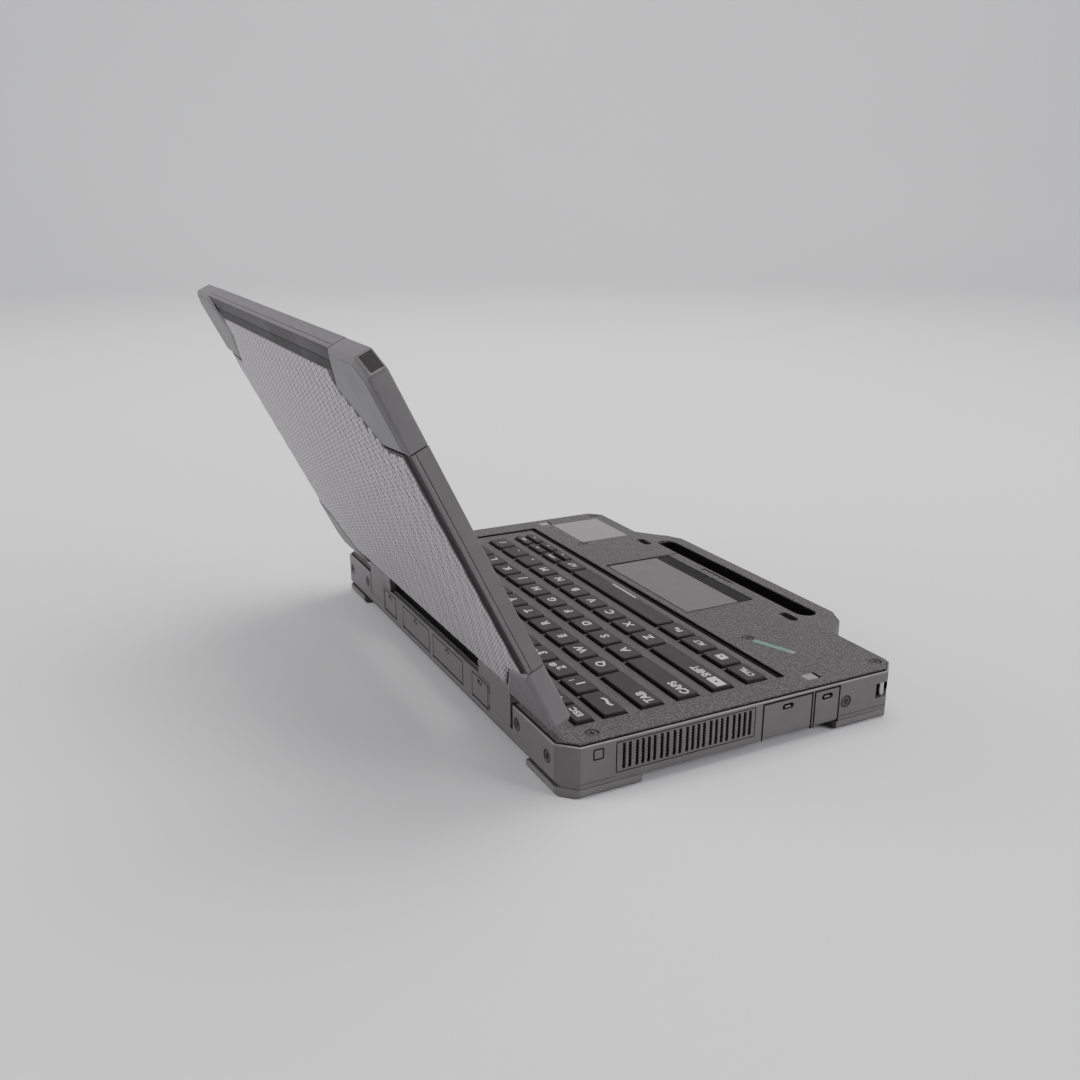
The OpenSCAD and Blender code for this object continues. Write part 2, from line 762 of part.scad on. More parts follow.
module top_bumper_plan() {
    polygon([[-hx, -137], [-hx, -lid_len + lid_cut], [-hx + lid_cut, -lid_len],
        [-109, -lid_len], [-90.5, -156], [-117, -134.5]]);
}

module bottom_bumper_plan() {
    v0 = lid_corner_foot;
    polygon([[-hx, -36], [-hx, -v0 - lid_cut], [-hx + lid_cut, -v0], [-block_x1 - 0.7, -v0],
        [-block_x1 - 0.7, -4], [-120, -28]]);
}

module bumper_plans() {
    both_sides() {
        top_bumper_plan();
        bottom_bumper_plan();
    }
}

// The ring round the edge of the lid that the bumpers fill
module bumper_ring() {
    difference() {
        bumper_plans();
        lid_outline(bumper_wall);
    }
}

// A corner bumper: a wall round the corner and a bevelled cap on the back
module bumper(top) {
    color(bumper_grey) lid_pose() difference() {
        union() {
            translate([0, 0, lid_face]) linear_extrude(lid_back - lid_face)
                difference() {
                    if (top) top_bumper_plan(); else bottom_bumper_plan();
                    lid_outline(bumper_wall);
                }
            hull() {
                translate([0, 0, lid_back]) linear_extrude(eps)
                    if (top) top_bumper_plan(); else bottom_bumper_plan();
                translate([0, 0, bumper_top - eps]) linear_extrude(eps)
                    offset(delta = -2.2)
                        if (top) top_bumper_plan(); else bottom_bumper_plan();
            }
        }
        if (top) translate([-hx + lid_cut / 2, -lid_len + lid_cut / 2, -1.5])
            rotate([0, 0, 45]) cube([2, 6.4, 4.4], center = true);
        else span([-104.4, -7.5, lid_face - 1], [-90, 0, lid_back]);
    }
}

module bumper_top_left() { bumper(true); }
module bumper_top_right() { mirror([1, 0, 0]) bumper(true); }
module bumper_bottom_left() { bumper(false); }
module bumper_bottom_right() { mirror([1, 0, 0]) bumper(false); }

screen_x = 130;
screen_v0 = 14;
screen_v1 = 166;

// Space for the hinge arms in the lower corners of the lid
module arm_space(grow) {
    both_sides() span([-126 - grow, -12 - grow, -2.6 - grow], [-95.6 + grow, -2.8, lid_seam]);
}

module screen_bezel() {
    color(charcoal) lid_pose() difference() {
        translate([0, 0, lid_face]) linear_extrude(lid_seam - lid_face) difference() {
            lid_outline();
            bumper_ring();
            translate([-screen_x, -screen_v1]) square([2 * screen_x, screen_v1 - screen_v0]);
        }
        span([-screen_x, -screen_v1 - 2, lid_face - 1], [screen_x, 0, glass_face]);
        arm_space(0.2);
        both_sides() span([-104.4, -7.5, lid_face - 1], [-90, 0, 5]);
        translate([0, -(lid_len + screen_v1) / 2, -6]) cylinder(h = 8, r = 2.6);
    }
}

module lid_back_cover() {
    color(metal) lid_pose() difference() {
        union() {
            translate([0, 0, lid_seam]) linear_extrude(lid_back - lid_seam) difference() {
                lid_outline();
                bumper_ring();
            }
        }
        both_sides() span([-104.4, -7.5, -5], [-90, 0, 5]);
    }
}

module lid_back_panel() {
    color(bumper_grey) lid_pose() difference() {
        hull() {
            translate([0, 0, lid_back]) linear_extrude(eps)
                polygon([[-hx + 4.5, -lid_foot], [hx - 4.5, -lid_foot],
                    [hx - 4.5, -168], [-hx + 4.5, -168]]);
            translate([0, 0, panel_top - eps]) linear_extrude(eps)
                polygon([[-hx + 6.5, -lid_foot - 0.2], [hx - 6.5, -lid_foot - 0.2],
                    [hx - 6.5, -164], [-hx + 6.5, -164]]);
        }
        translate([0, 0, lid_back - 1]) linear_extrude(3) bumper_plans();
    }
}

module display_panel() {
    color(charcoal) lid_pose()
        span([-screen_x + 0.3, -screen_v1 + 0.3, glass_face + 1.1],
            [screen_x - 0.3, -screen_v0 - 0.3, lid_seam - 0.1]);
}

module screen_glass() {
    color([0.05, 0.05, 0.06]) lid_pose()
        span([-screen_x + 0.1, -screen_v1 + 0.1, glass_face],
            [screen_x - 0.1, -screen_v0 - 0.1, glass_face + 1]);
}

module lid_hinge_arms() {
    color(steel) lid_pose() both_sides() difference() {
        union() {
            translate([-103.6, 0, 0]) rotate([0, 90, 0]) cylinder(h = 8, r = 2.95);
            span([-103.6, -7, -2.4], [-95.6, 0, 0.8]);
            span([-125.8, -11.8, -2.4], [-95.6, -6.8, 0.8]);
        }
        translate([-105, 0, 0]) rotate([0, 90, 0]) cylinder(h = 12, r = shaft_r + shaft_run);
    }
}

module webcam_module() {
    color([0.05, 0.05, 0.06]) lid_pose()
        translate([0, -(lid_len + screen_v1) / 2, -4.4]) cylinder(h = 4.8, r = 2.5);
}

module lid_hooks() {
    color(steel) lid_pose() both_sides() translate([-71, -hinge_y - 82.3, 0]) {
        span([-4, -1, lid_face - 2.6], [4, 1, lid_face]);
        span([-4, -1, lid_face - 2.6], [4, 1.8, lid_face - 1.6]);
    }
}

bottom_case();
top_deck();
carry_handle();
corner_feet();
strap_posts();
keyboard_frame();
keyboard_backplate();
keys_function_row();
keys_number_row();
keys_tab_row();
keys_caps_row();
keys_shift_row();
keys_bottom_row();
space_bar();
arrow_keys();
power_button();
touchpad_frame();
touchpad_surface();
touchpad_button_left();
touchpad_button_right();
status_light_bar();
case_screws();
vent_grille();
heatsink_fins();
heat_pipe();
fan_housing();
fan_rotor();
motherboard();
memory_module();
solid_state_drive();
battery_pack();
battery_latch();
service_cover();
speakers();
side_port_sockets();
rear_port_sockets();
side_door_small();
side_door_large();
rear_door_1();
rear_door_2();
rear_door_3();
rear_door_4();
right_door();
door_hinge_pins();
hinge_cover();
hinge_mount_left();
hinge_mount_right();
lid_hinge_shafts();
lid_hinge_arms();
lid_back_cover();
lid_back_panel();
screen_bezel();
display_panel();
screen_glass();
bumper_top_left();
bumper_top_right();
bumper_bottom_left();
bumper_bottom_right();
webcam_module();
lid_hooks();
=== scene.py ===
import json
import math

import bmesh
import bpy
from mathutils import Matrix, Vector

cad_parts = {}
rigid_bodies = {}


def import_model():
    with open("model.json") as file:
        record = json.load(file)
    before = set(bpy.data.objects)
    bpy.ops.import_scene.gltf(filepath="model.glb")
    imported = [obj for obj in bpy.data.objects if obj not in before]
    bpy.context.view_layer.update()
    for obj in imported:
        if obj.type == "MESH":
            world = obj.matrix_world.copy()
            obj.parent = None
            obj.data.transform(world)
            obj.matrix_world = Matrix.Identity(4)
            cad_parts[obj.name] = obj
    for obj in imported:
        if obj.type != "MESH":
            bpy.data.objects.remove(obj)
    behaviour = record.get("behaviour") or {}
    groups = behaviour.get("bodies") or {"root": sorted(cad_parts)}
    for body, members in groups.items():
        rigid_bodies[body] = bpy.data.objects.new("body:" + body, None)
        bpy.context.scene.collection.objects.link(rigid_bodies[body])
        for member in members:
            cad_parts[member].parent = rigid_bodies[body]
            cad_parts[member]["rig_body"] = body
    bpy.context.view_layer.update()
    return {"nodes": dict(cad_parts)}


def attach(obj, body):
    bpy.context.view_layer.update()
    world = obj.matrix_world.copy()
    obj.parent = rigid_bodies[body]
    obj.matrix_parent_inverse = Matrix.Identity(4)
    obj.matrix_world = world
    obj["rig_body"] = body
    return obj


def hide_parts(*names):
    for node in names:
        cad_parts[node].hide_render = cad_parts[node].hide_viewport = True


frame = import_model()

MM = 0.001
NODES = frame["nodes"]

# ---- Sizes shared with the CAD source, in millimetres ----
HALF_W, HALF_D = 144.0, 90.25
DECK_Z = 25.2
HINGE_Y, HINGE_Z, LID_OPEN, LID_LENGTH = 87.25, 30.2, 116.0, 174.5
SCREEN_X, SCREEN_V0, SCREEN_V1 = 130.0, 14.0, 166.0  # opening in the bezel
PITCH, KEY_GAP, KEY_X0, KEY_TOP, KEY_FOOT = 19.0, 2.2, -125.7, 25.8, 21.9
KEY_DEPTH, ROW_PITCH, KEY_Y0, WEB_TOP = 12.0, 18.7, 61.1, 23.2
F_DEPTH, F_REAR = 9.4, 74.85
ARROW_DEPTH, ARROW_REAR, ARROW_FRONT = 5.8, -13.1, -20.75
F_W = 12.88 / 14
PANEL_TOP = 3.7

# ---- Colours, as linear values ----
CASE = (0.092, 0.084, 0.086)
DECK = (0.124, 0.113, 0.113)
WEB = (0.102, 0.092, 0.092)
LID_METAL = (0.105, 0.096, 0.099)
# Painted shade: a darker copy of the lid paint for faces that look back.
BACK_SHADE = (0.036, 0.032, 0.034)
# Painted shade: near black for grooves, sloping panel edges and the bumpers' inner walls.
SHADE_NEAR_BLACK = (0.020, 0.017, 0.018)
RIDGES = (0.370, 0.346, 0.358)
VALLEY = (0.045, 0.040, 0.042)
BUMPER = (0.112, 0.105, 0.107)
FOOT = (0.112, 0.103, 0.105)
KEY = (0.031, 0.027, 0.027)
PAD = (0.096, 0.088, 0.088)
BUTTON = (0.011, 0.010, 0.010)
DARK = (0.010, 0.009, 0.009)
LEGEND = (0.50, 0.465, 0.47)
TEAL = (0.085, 0.175, 0.155)


# ---- Node helpers ----
def add(tree, kind, values=None, **settings):
    """A new shader node with its settings and input values."""
    node = tree.nodes.new(kind)
    for key, value in settings.items():
        setattr(node, key, value)
    for key, value in (values or {}).items():
        node.inputs[key].default_value = value
    return node


def link(tree, source, target):
    tree.links.new(source, target)


def math_node(tree, operation, a, b):
    """A maths node; a and b are sockets or numbers."""
    node = add(tree, "ShaderNodeMath", operation=operation)
    for i, value in enumerate((a, b)):
        if isinstance(value, (int, float)):
            node.inputs[i].default_value = value
        else:
            link(tree, value, node.inputs[i])
    return node.outputs[0]


def mix_colour(tree, factor, a, b):
    """Blends two colours, each a socket or a tuple."""
    node = add(tree, "ShaderNodeMix", data_type="RGBA")
    if isinstance(factor, (int, float)):
        node.inputs[0].default_value = factor
    else:
        link(tree, factor, node.inputs[0])
    for i, value in ((6, a), (7, b)):
        if isinstance(value, tuple):
            node.inputs[i].default_value = (*value, 1)
        else:
            link(tree, value, node.inputs[i])
    return node.outputs[2]


def scaled(colour, k):
    return tuple(min(1.0, c * k) for c in colour)


def noise(tree, coords, size_mm, detail=3.0, rough=0.55, stretch=None):
    """Noise whose features are about size_mm across; stretch scales the axes."""
    if stretch:
        mapping = add(tree, "ShaderNodeMapping", {"Scale": stretch})
        link(tree, coords, mapping.inputs["Vector"])
        coords = mapping.outputs[0]
    node = add(tree, "ShaderNodeTexNoise",
               {"Scale": 1000.0 / size_mm, "Detail": detail, "Roughness": rough})
    link(tree, coords, node.inputs["Vector"])
    return node.outputs[0]


def leather(tree, coords, size_mm):
    """Pebbled grain, like a moulded leather pattern."""
    warp = add(tree, "ShaderNodeMix", {0: 0.00055}, data_type="VECTOR")
    detail = add(tree, "ShaderNodeTexNoise", {"Scale": 700.0 / size_mm})
    link(tree, coords, detail.inputs["Vector"])
    link(tree, coords, warp.inputs[4])
    link(tree, detail.outputs["Color"], warp.inputs[5])
    cell = add(tree, "ShaderNodeTexVoronoi", {"Scale": 1000.0 / size_mm}, feature="F1")
    link(tree, warp.outputs[1], cell.inputs["Vector"])
    return math_node(tree, "SUBTRACT", 1.0, cell.outputs["Distance"])


WAVE_UNIT = 375.0  # scale of a wave texture that gives strands 1 mm wide


def weave(tree, coords, size_mm):
    """Slanting strands across the ribs, like a woven cloth."""
    node = add(tree, "ShaderNodeTexWave",
               {"Scale": WAVE_UNIT / size_mm, "Distortion": 1.2, "Detail": 1.0},
               bands_direction="DIAGONAL")
    link(tree, coords, node.inputs["Vector"])
    return node.outputs["Fac"]


def map_range(tree, value, low, high, to_low, to_high):
    node = add(tree, "ShaderNodeMapRange",
               {"From Min": low, "From Max": high, "To Min": to_low, "To Max": to_high})
    link(tree, value, node.inputs["Value"])
    return node.outputs["Result"]


def edge_wear_and_highlight(tree, radius_mm):
    """(rounded normal, mask that is high along outer edges)."""
    bevel = add(tree, "ShaderNodeBevel", {"Radius": radius_mm * MM}, samples=4)
    geometry = add(tree, "ShaderNodeNewGeometry")
    dot = add(tree, "ShaderNodeVectorMath", operation="DOT_PRODUCT")
    link(tree, bevel.outputs[0], dot.inputs[0])
    link(tree, geometry.outputs["Normal"], dot.inputs[1])
    mask = map_range(tree, dot.outputs["Value"], 0.99, 0.80, 0.0, 1.0)
    return bevel.outputs[0], mask


def crevice(tree, reach_mm):
    """Openness of the surface around each point: low in corners and gaps."""
    node = add(tree, "ShaderNodeAmbientOcclusion", {"Distance": reach_mm * MM}, samples=4)
    return node.outputs["AO"]


def material(name):
    """An empty material: (material, tree, Principled shader, object coordinates)."""
    made = bpy.data.materials.new(name)
    made.use_nodes = True
    tree = made.node_tree
    tree.nodes.clear()
    shader = add(tree, "ShaderNodeBsdfPrincipled")
    output = add(tree, "ShaderNodeOutputMaterial")
    link(tree, shader.outputs[0], output.inputs[0])
    coords = add(tree, "ShaderNodeTexCoord").outputs["Object"]
    return made, tree, shader, coords


def wire_up(tree, shader, base, rough, height, strength, depth_mm, normal=None):
    """Joins colour, roughness and a bump from height to the shader."""
    link(tree, base, shader.inputs["Base Color"])
    link(tree, rough, shader.inputs["Roughness"])
    bump = add(tree, "ShaderNodeBump", {"Strength": strength, "Distance": depth_mm * MM})
    link(tree, height, bump.inputs["Height"])
    if normal:
        link(tree, normal, bump.inputs["Normal"])
    link(tree, bump.outputs[0], shader.inputs["Normal"])


def coated(name, colour, rough=0.55, vary=0.12, grain_mm=0.5, depth_mm=0.02,
           edge_mm=0.35, wear_and_highlight=0.45, metal=0.0, pebbled=False, stretch=None, relief=0.12,
           corner_shade=0.55, woven=False, shine=0.4):
    """A finish with colour drift, grain, edges lightened partly as wear and partly as a
    painted highlight, painted shade in the corners, and bump.

    relief is how much darker the low spots of the grain are; corner_shade is how dark the
    painted shade in the corners and gaps becomes; shine is the strength of the surface
    reflection.
    """
    made, tree, shader, coords = material(name)
    broad = noise(tree, coords, 55, 4.0, 0.6)
    mottle = noise(tree, coords, 7, 3.0, 0.6)
    if pebbled:
        grain = leather(tree, coords, grain_mm)
    elif woven:
        grain = weave(tree, coords, grain_mm)
    else:
        grain = noise(tree, coords, grain_mm, 2.0, 0.6, stretch)
    drift = math_node(tree, "ADD", math_node(tree, "MULTIPLY", broad, 0.65),
                      math_node(tree, "MULTIPLY", mottle, 0.35))
    tone = map_range(tree, drift, 0.32, 0.68, 0.0, 1.0)
    base = mix_colour(tree, tone, scaled(colour, 1 - vary), scaled(colour, 1 + vary))
    low, high = (0.45, 0.95) if pebbled else (0.3, 0.7)
    height = map_range(tree, grain, low, high, 1.0, 0.0)
    base = mix_colour(tree, math_node(tree, "MULTIPLY", height, relief), base,
                      scaled(colour, 0.25))
    normal, mask = edge_wear_and_highlight(tree, edge_mm)
    broken = map_range(tree, mottle, 0.35, 0.6, 0.25, 1.0)
    # Outer edges are lightened towards 2.6 times the colour: partly wear, partly a painted
    # highlight.
    worn_and_lit = math_node(tree, "MULTIPLY", math_node(tree, "MULTIPLY", mask, broken), wear_and_highlight)
    base = mix_colour(tree, worn_and_lit, base, scaled(colour, 2.6))
    # Painted shade: corners and gaps darken towards 0.12 of the colour.
    shade = map_range(tree, crevice(tree, 2.5), 0.15, 0.85, corner_shade, 0.0)
    base = mix_colour(tree, shade, base, scaled(colour, 0.12))
    shader.inputs["Metallic"].default_value = metal
    shader.inputs["Specular IOR Level"].default_value = shine
    roughness = map_range(tree, drift, 0.3, 0.7, rough - 0.09, rough + 0.09)
    wire_up(tree, shader, base, roughness, grain, 1.0, depth_mm, normal)
    return made


def glossy(name, colour, rough, smudge_mm=30, haze=0.07):
    """A smooth glossy finish with faint smudges and dust."""
    made, tree, shader, coords = material(name)
    smudge = noise(tree, coords, smudge_mm, 5.0, 0.65)
    dust = noise(tree, coords, 0.4, 1.0)
    base = mix_colour(tree, map_range(tree, dust, 0.66, 0.74, 0.0, 0.25), colour,
                      scaled(colour, 3.0))
    roughness = map_range(tree, smudge, 0.35, 0.7, rough, rough + haze)
    wire_up(tree, shader, base, roughness, smudge, 0.05, 0.01)
    return made


def printed(name, colour, rough=0.5):
    """Ink or a label: nearly even, with slight wear and a paper-like tooth."""
    made, tree, shader, coords = material(name)
    fade = noise(tree, coords, 6, 4.0, 0.7)
    tooth = noise(tree, coords, 0.3, 2.0)
    base = mix_colour(tree, map_range(tree, fade, 0.3, 0.75, 0.0, 1.0),
                      scaled(colour, 0.88), scaled(colour, 1.08))
    roughness = map_range(tree, fade, 0.3, 0.7, rough - 0.06, rough + 0.08)
    wire_up(tree, shader, base, roughness, tooth, 0.5, 0.006)
    return made


MATS = {
    "case": coated("case_paint", CASE, rough=0.50, grain_mm=0.6, wear_and_highlight=0.8),
    # Painted highlight: a lighter copy of the case paint for the top edge of the case.
    "rim": coated("case_rim_highlight", scaled(CASE, 1.8), rough=0.42, vary=0.2, grain_mm=0.6,
                  wear_and_highlight=0.3),
    "deck": coated("deck_grain", DECK, rough=0.60, vary=0.10, grain_mm=1.3,
                   depth_mm=0.24, pebbled=True, wear_and_highlight=0.3, relief=0.8, shine=0.3),
    "web": coated("keyboard_web", WEB, rough=0.62, grain_mm=1.0, depth_mm=0.12,
                  pebbled=True, wear_and_highlight=0.3, relief=0.45, corner_shade=0.4, shine=0.25),
    "lid": coated("lid_paint", LID_METAL, rough=0.46, depth_mm=0.012, wear_and_highlight=0.8),
    # Painted shade on the lid cover's faces that look back.
    "band": coated("lid_back_shade", BACK_SHADE, rough=0.52, depth_mm=0.012, wear_and_highlight=0.8, shine=0.08),
    # Painted shade for grooves, sloping panel edges and bumper inner walls.
    "groove_shade": coated("lid_groove_shade", SHADE_NEAR_BLACK, depth_mm=0.015, wear_and_highlight=0.2, shine=0.1),
    "ridges": coated("ridged_panel", RIDGES, rough=0.42, vary=0.08, grain_mm=1.5,
                     depth_mm=0.12, wear_and_highlight=0.25, metal=0.1, edge_mm=0.15, relief=0.45,
                     woven=True),
    "valley": coated("panel_valley", VALLEY, grain_mm=0.8, depth_mm=0.03, wear_and_highlight=0.1,
                     relief=0.3, shine=0.15),
    "bumper": coated("bumper_cast", BUMPER, rough=0.48, grain_mm=0.8, edge_mm=0.6,
                     wear_and_highlight=0.6),
    # Painted shade: a darker copy of the bumper finish for faces that look back.
    "bumper_back_shade": coated("bumper_cast_back_shade", scaled(BUMPER, 0.72), rough=0.5,
                          grain_mm=0.8, edge_mm=0.6, wear_and_highlight=0.9),
    "foot": coated("foot_cast", FOOT, rough=0.6, grain_mm=0.8, depth_mm=0.03, wear_and_highlight=0.7),
    "key": coated("key_plastic", KEY, rough=0.50, depth_mm=0.012, edge_mm=0.25,
                  wear_and_highlight=0.25, relief=0.25, corner_shade=0.6, shine=0.2),
    "pad": coated("pad_film", PAD, rough=0.42, vary=0.04, grain_mm=0.3,
                  depth_mm=0.004, wear_and_highlight=0.3, relief=0.05, shine=0.3),
    "pad_key": coated("pad_button", BUTTON, rough=0.5, depth_mm=0.01, wear_and_highlight=0.3,
                      shine=0.08),
    "dark": coated("dark_plastic", DARK, rough=0.6, wear_and_highlight=0.1, shine=0.2),
    # Black rubber; the same finish also serves for the black sheets of painted shade in the
    # tray, along the deck's edge and behind the hinge cover.
    "seal": coated("black_rubber_and_shade", scaled(DARK, 0.6), rough=0.8, grain_mm=0.6,
                   depth_mm=0.03, wear_and_highlight=0.0, shine=0.1),
    "bezel": coated("bezel_plastic", scaled(DARK, 2.4), grain_mm=0.7, depth_mm=0.03,
                    wear_and_highlight=0.25),
    "patch": coated("rubbed_patch", scaled(DECK, 1.7), rough=0.45, grain_mm=0.7,
                    wear_and_highlight=0.3, relief=0.2),
    "steel": coated("steel", (0.42, 0.41, 0.41), rough=0.32, depth_mm=0.008, metal=1.0,
                    wear_and_highlight=0.3),
    "screw": coated("screw_steel", (0.06, 0.055, 0.055), rough=0.40, grain_mm=0.3,
                    depth_mm=0.01, metal=0.6, wear_and_highlight=0.8, edge_mm=0.2),
    "fin_ends": coated("fin_ends", (0.20, 0.19, 0.19), rough=0.45, grain_mm=0.4,
                       depth_mm=0.01, wear_and_highlight=0.3, corner_shade=0.3),
    "fins": coated("fin_metal", (0.40, 0.39, 0.38), rough=0.38, grain_mm=0.4,
                   depth_mm=0.01, metal=1.0, stretch=(1, 1, 8)),
    "copper": coated("copper", (0.62, 0.30, 0.17), rough=0.33, depth_mm=0.008,
                     metal=1.0, wear_and_highlight=0.3),
    "board": coated("circuit_board", (0.03, 0.14, 0.07), rough=0.45, grain_mm=1.2,
                    depth_mm=0.04, wear_and_highlight=0.2),
    "battery": coated("battery_shell", (0.045, 0.045, 0.048), rough=0.58,
                      depth_mm=0.03),
    "glass": glossy("screen_glass", (0.008, 0.008, 0.010), 0.06),
    "display": glossy("display_layer", (0.012, 0.013, 0.016), 0.20),
    "led": glossy("light_window", (0.06, 0.055, 0.055), 0.25, 8),
    "legend": printed("legend_ink", LEGEND),
    "label": printed("blank_label", (0.17, 0.16, 0.16), 0.38),
    "teal": printed("teal_strip", TEAL, 0.45),
}


# ---- Mesh helpers ----
LID = (Matrix.Translation(Vector((0, HINGE_Y, HINGE_Z)) * MM)
       @ Matrix.Rotation(math.radians(-LID_OPEN), 4, "X"))


def piece(name, body, mat, shape, axes=None, smooth=None):
    """A mesh piece riding on a CAD body, with one of the finishes.

    A shape is a pair, points in millimetres and faces. The points are in the frame, or
    in the axes that a matrix gives.
    """
    verts, faces = shape
    points = [Vector(p) * MM for p in verts]
    if axes:
        points = [axes @ p for p in points]
    mesh = bpy.data.meshes.new(name)
    mesh.from_pydata([tuple(p) for p in points], [], faces)
    mesh.validate()
    obj = finish_piece(name, body, mat, mesh, smooth)
    return obj


def finish_piece(name, body, mat, mesh, smooth=None):
    """An object with that mesh and finish; smooth is the angle that counts as sharp."""
    mesh.materials.append(MATS[mat])
    obj = bpy.data.objects.new(name, mesh)
    bpy.context.scene.collection.objects.link(obj)
    if smooth:
        mesh.polygons.foreach_set("use_smooth", [True] * len(mesh.polygons))
        mesh.set_sharp_from_angle(angle=math.radians(smooth))
        even = obj.modifiers.new("even_normals", "WEIGHTED_NORMAL")
        even.keep_sharp = True
        even.weight = 90
    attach(obj, body)
    return obj


def body_of_node(node):
    return NODES[node]["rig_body"]


def soften(node, mat, width_mm, steps=3, min_angle=25, others=()):
    """The node's own shape with its long outer edges rounded; stands for the node.

    others lists (finish, test); faces whose centre in millimetres and normal pass a test
    get its finish instead. Both are measured in the closed lid's axes for lid nodes.
    """
    width = width_mm * MM
    bm = bmesh.new()
    bm.from_mesh(NODES[node].data)
    bmesh.ops.remove_doubles(bm, verts=bm.verts, dist=1e-6)
    bmesh.ops.dissolve_limit(bm, angle_limit=math.radians(0.4), verts=bm.verts,
                             edges=bm.edges, use_dissolve_boundaries=False)
    bmesh.ops.recalc_face_normals(bm, faces=bm.faces)
    length = {e: e.calc_length() for e in bm.edges}

    def fit(e):
        if len(e.link_faces) != 2 or not e.is_convex:
            return False
        if e.calc_face_angle(0.0) < math.radians(min_angle) or length[e] < 3 * width:
            return False
        return all(length[o] > 1.7 * width for v in e.verts for o in v.link_edges)

    edges = [e for e in bm.edges if fit(e)]
    bmesh.ops.bevel(bm, geom=edges, offset=width, segments=steps, profile=0.5,
                    affect="EDGES", clamp_overlap=False)
    mesh = bpy.data.meshes.new(node + "_soft")
    bm.to_mesh(mesh)
    bm.free()
    obj = finish_piece(node + "_soft", body_of_node(node), mat, mesh, smooth=42)
    back = LID.inverted() if body_of_node(node) == "lid" else Matrix()
    for index, (finish, test) in enumerate(others, start=1):
        mesh.materials.append(MATS[finish])
        for face in mesh.polygons:
            if test((back @ face.center) / MM, back.to_3x3() @ face.normal):
                face.material_index = index
    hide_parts(node)
    return obj


def dress(node, mat):
    """Puts one of the finishes on a CAD node that is shown as it is."""
    mesh = NODES[node].data
    mesh.materials.clear()
    mesh.materials.append(MATS[mat])


# ---- Keys ----
def run(start, count, width=1.0):
    return [(start + i * width, width) for i in range(count)]


def row_y(row):
    return KEY_Y0 - row * ROW_PITCH


ARROWS = run(9.88, 3)
# Each node: list of (keys, rear edge, depth)
KEY_ROWS = {
    "keys_function_row": [(run(0, 13, F_W), F_REAR, F_DEPTH)],
    "power_button": [([(13 * F_W, F_W)], F_REAR, F_DEPTH)],
    "keys_number_row": [([(0, 1.26)] + run(1.26, 10) + run(11.26, 2, 0.81),
                         row_y(0), KEY_DEPTH)],
    "keys_tab_row": [([(0, 1.98)] + run(1.98, 10) + [(11.98, 0.9)], row_y(1), KEY_DEPTH)],
    "keys_caps_row": [([(0, 2.46)] + run(2.46, 9) + [(11.46, 1.42)], row_y(2), KEY_DEPTH)],
    "keys_shift_row": [([(0, 2.88)] + run(2.88, 10), row_y(3), KEY_DEPTH)],
    "keys_bottom_row": [(run(0, 4) + [(8.88, 1)], row_y(4), KEY_DEPTH)],
    "space_bar": [([(4, 4.88)], row_y(4), KEY_DEPTH)],
    "arrow_keys": [(ARROWS, ARROW_REAR, ARROW_DEPTH), (ARROWS, ARROW_FRONT, ARROW_DEPTH)],
}


def key_box(key, rear, depth):
    """(centre x, centre y, half width, half depth) of a key."""
    width = key[1] * PITCH - KEY_GAP
    return (KEY_X0 + key[0] * PITCH + width / 2, rear - depth / 2, width / 2, depth / 2)


def key_centres(node):
    """Centres of the keys in the first line of a node."""
    keys, rear, depth = KEY_ROWS[node][0]
    return [key_box(key, rear, depth)[:2] for key in keys]


def ring(cx, cy, hx, hy, r, z, steps=4):
    """Points of a rounded rectangle, anticlockwise from above."""
    points = []
    for sx, sy, start in ((1, 1, 0), (-1, 1, 90), (-1, -1, 180), (1, -1, 270)):
        for i in range(steps + 1):
            a = math.radians(start + 90 * i / steps)
            points.append((cx + sx * (hx - r) + r * math.cos(a),
                           cy + sy * (hy - r) + r * math.sin(a), z))
    return points


def loft(rings, shape):
    """Joins rings of equal length into a closed solid."""
    verts, faces = shape
    base, n = len(verts), len(rings[0])
    for points in rings:
        verts.extend(points)
    faces.append([base + i for i in reversed(range(n))])
    for k in range(len(rings) - 1):
        for i in range(n):
            a, b = base + k * n + i, base + k * n + (i + 1) % n
            faces.append([a, b, b + n, a + n])
    last = base + (len(rings) - 1) * n
    faces.append([last + i for i in range(n)])


# Keycap profile from foot to top: (how far in, drop below the top)
KEY_PROFILE = [(0.02, KEY_TOP - KEY_FOOT), (0.36, 0.62), (0.42, 0.34), (0.58, 0.12),
               (0.85, 0.02), (1.25, 0.0)]


def keycaps(node):
    """The caps of all keys of a node, standing for it."""
    shape = [], []
    for keys, rear, depth in KEY_ROWS[node]:
        for key in keys:
            cx, cy, hx, hy = key_box(key, rear, depth)
            loft([ring(cx, cy, hx - d, hy - d, 1.0, KEY_TOP - drop)
                  for d, drop in KEY_PROFILE], shape)
    obj = piece(node + "_caps", body_of_node(node), "key", shape, smooth=50)
    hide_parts(node)


# ---- Legends ----
INK_Z = KEY_TOP + 0.025


def lettering(text, height, x, y, shape, align="CENTER", bold=0.034, stretch=1.15,
              width=0.0):
    """Flat lettering with that cap height, centred on y.

    stretch widens it; a width in millimetres makes it exactly that wide instead.
    """
    curve = bpy.data.curves.new("lettering", "FONT")
    curve.body = text
    curve.size = height / 0.73
    curve.offset = bold * height
    curve.resolution_u = 3
    curve.align_x = align
    obj = bpy.data.objects.new("lettering", curve)
    mesh = bpy.data.meshes.new_from_object(obj)
    if width:
        reach = [v.co.x for v in mesh.vertices]
        stretch = width / (max(reach) - min(reach))
    verts, faces = shape
    base = len(verts)
    for v in mesh.vertices:
        verts.append((x + v.co.x * stretch, y + v.co.y - height / 2, INK_Z))
    for p in mesh.polygons:
        faces.append([base + i for i in p.vertices])
    bpy.data.objects.remove(obj)
    bpy.data.curves.remove(curve)
    bpy.data.meshes.remove(mesh)


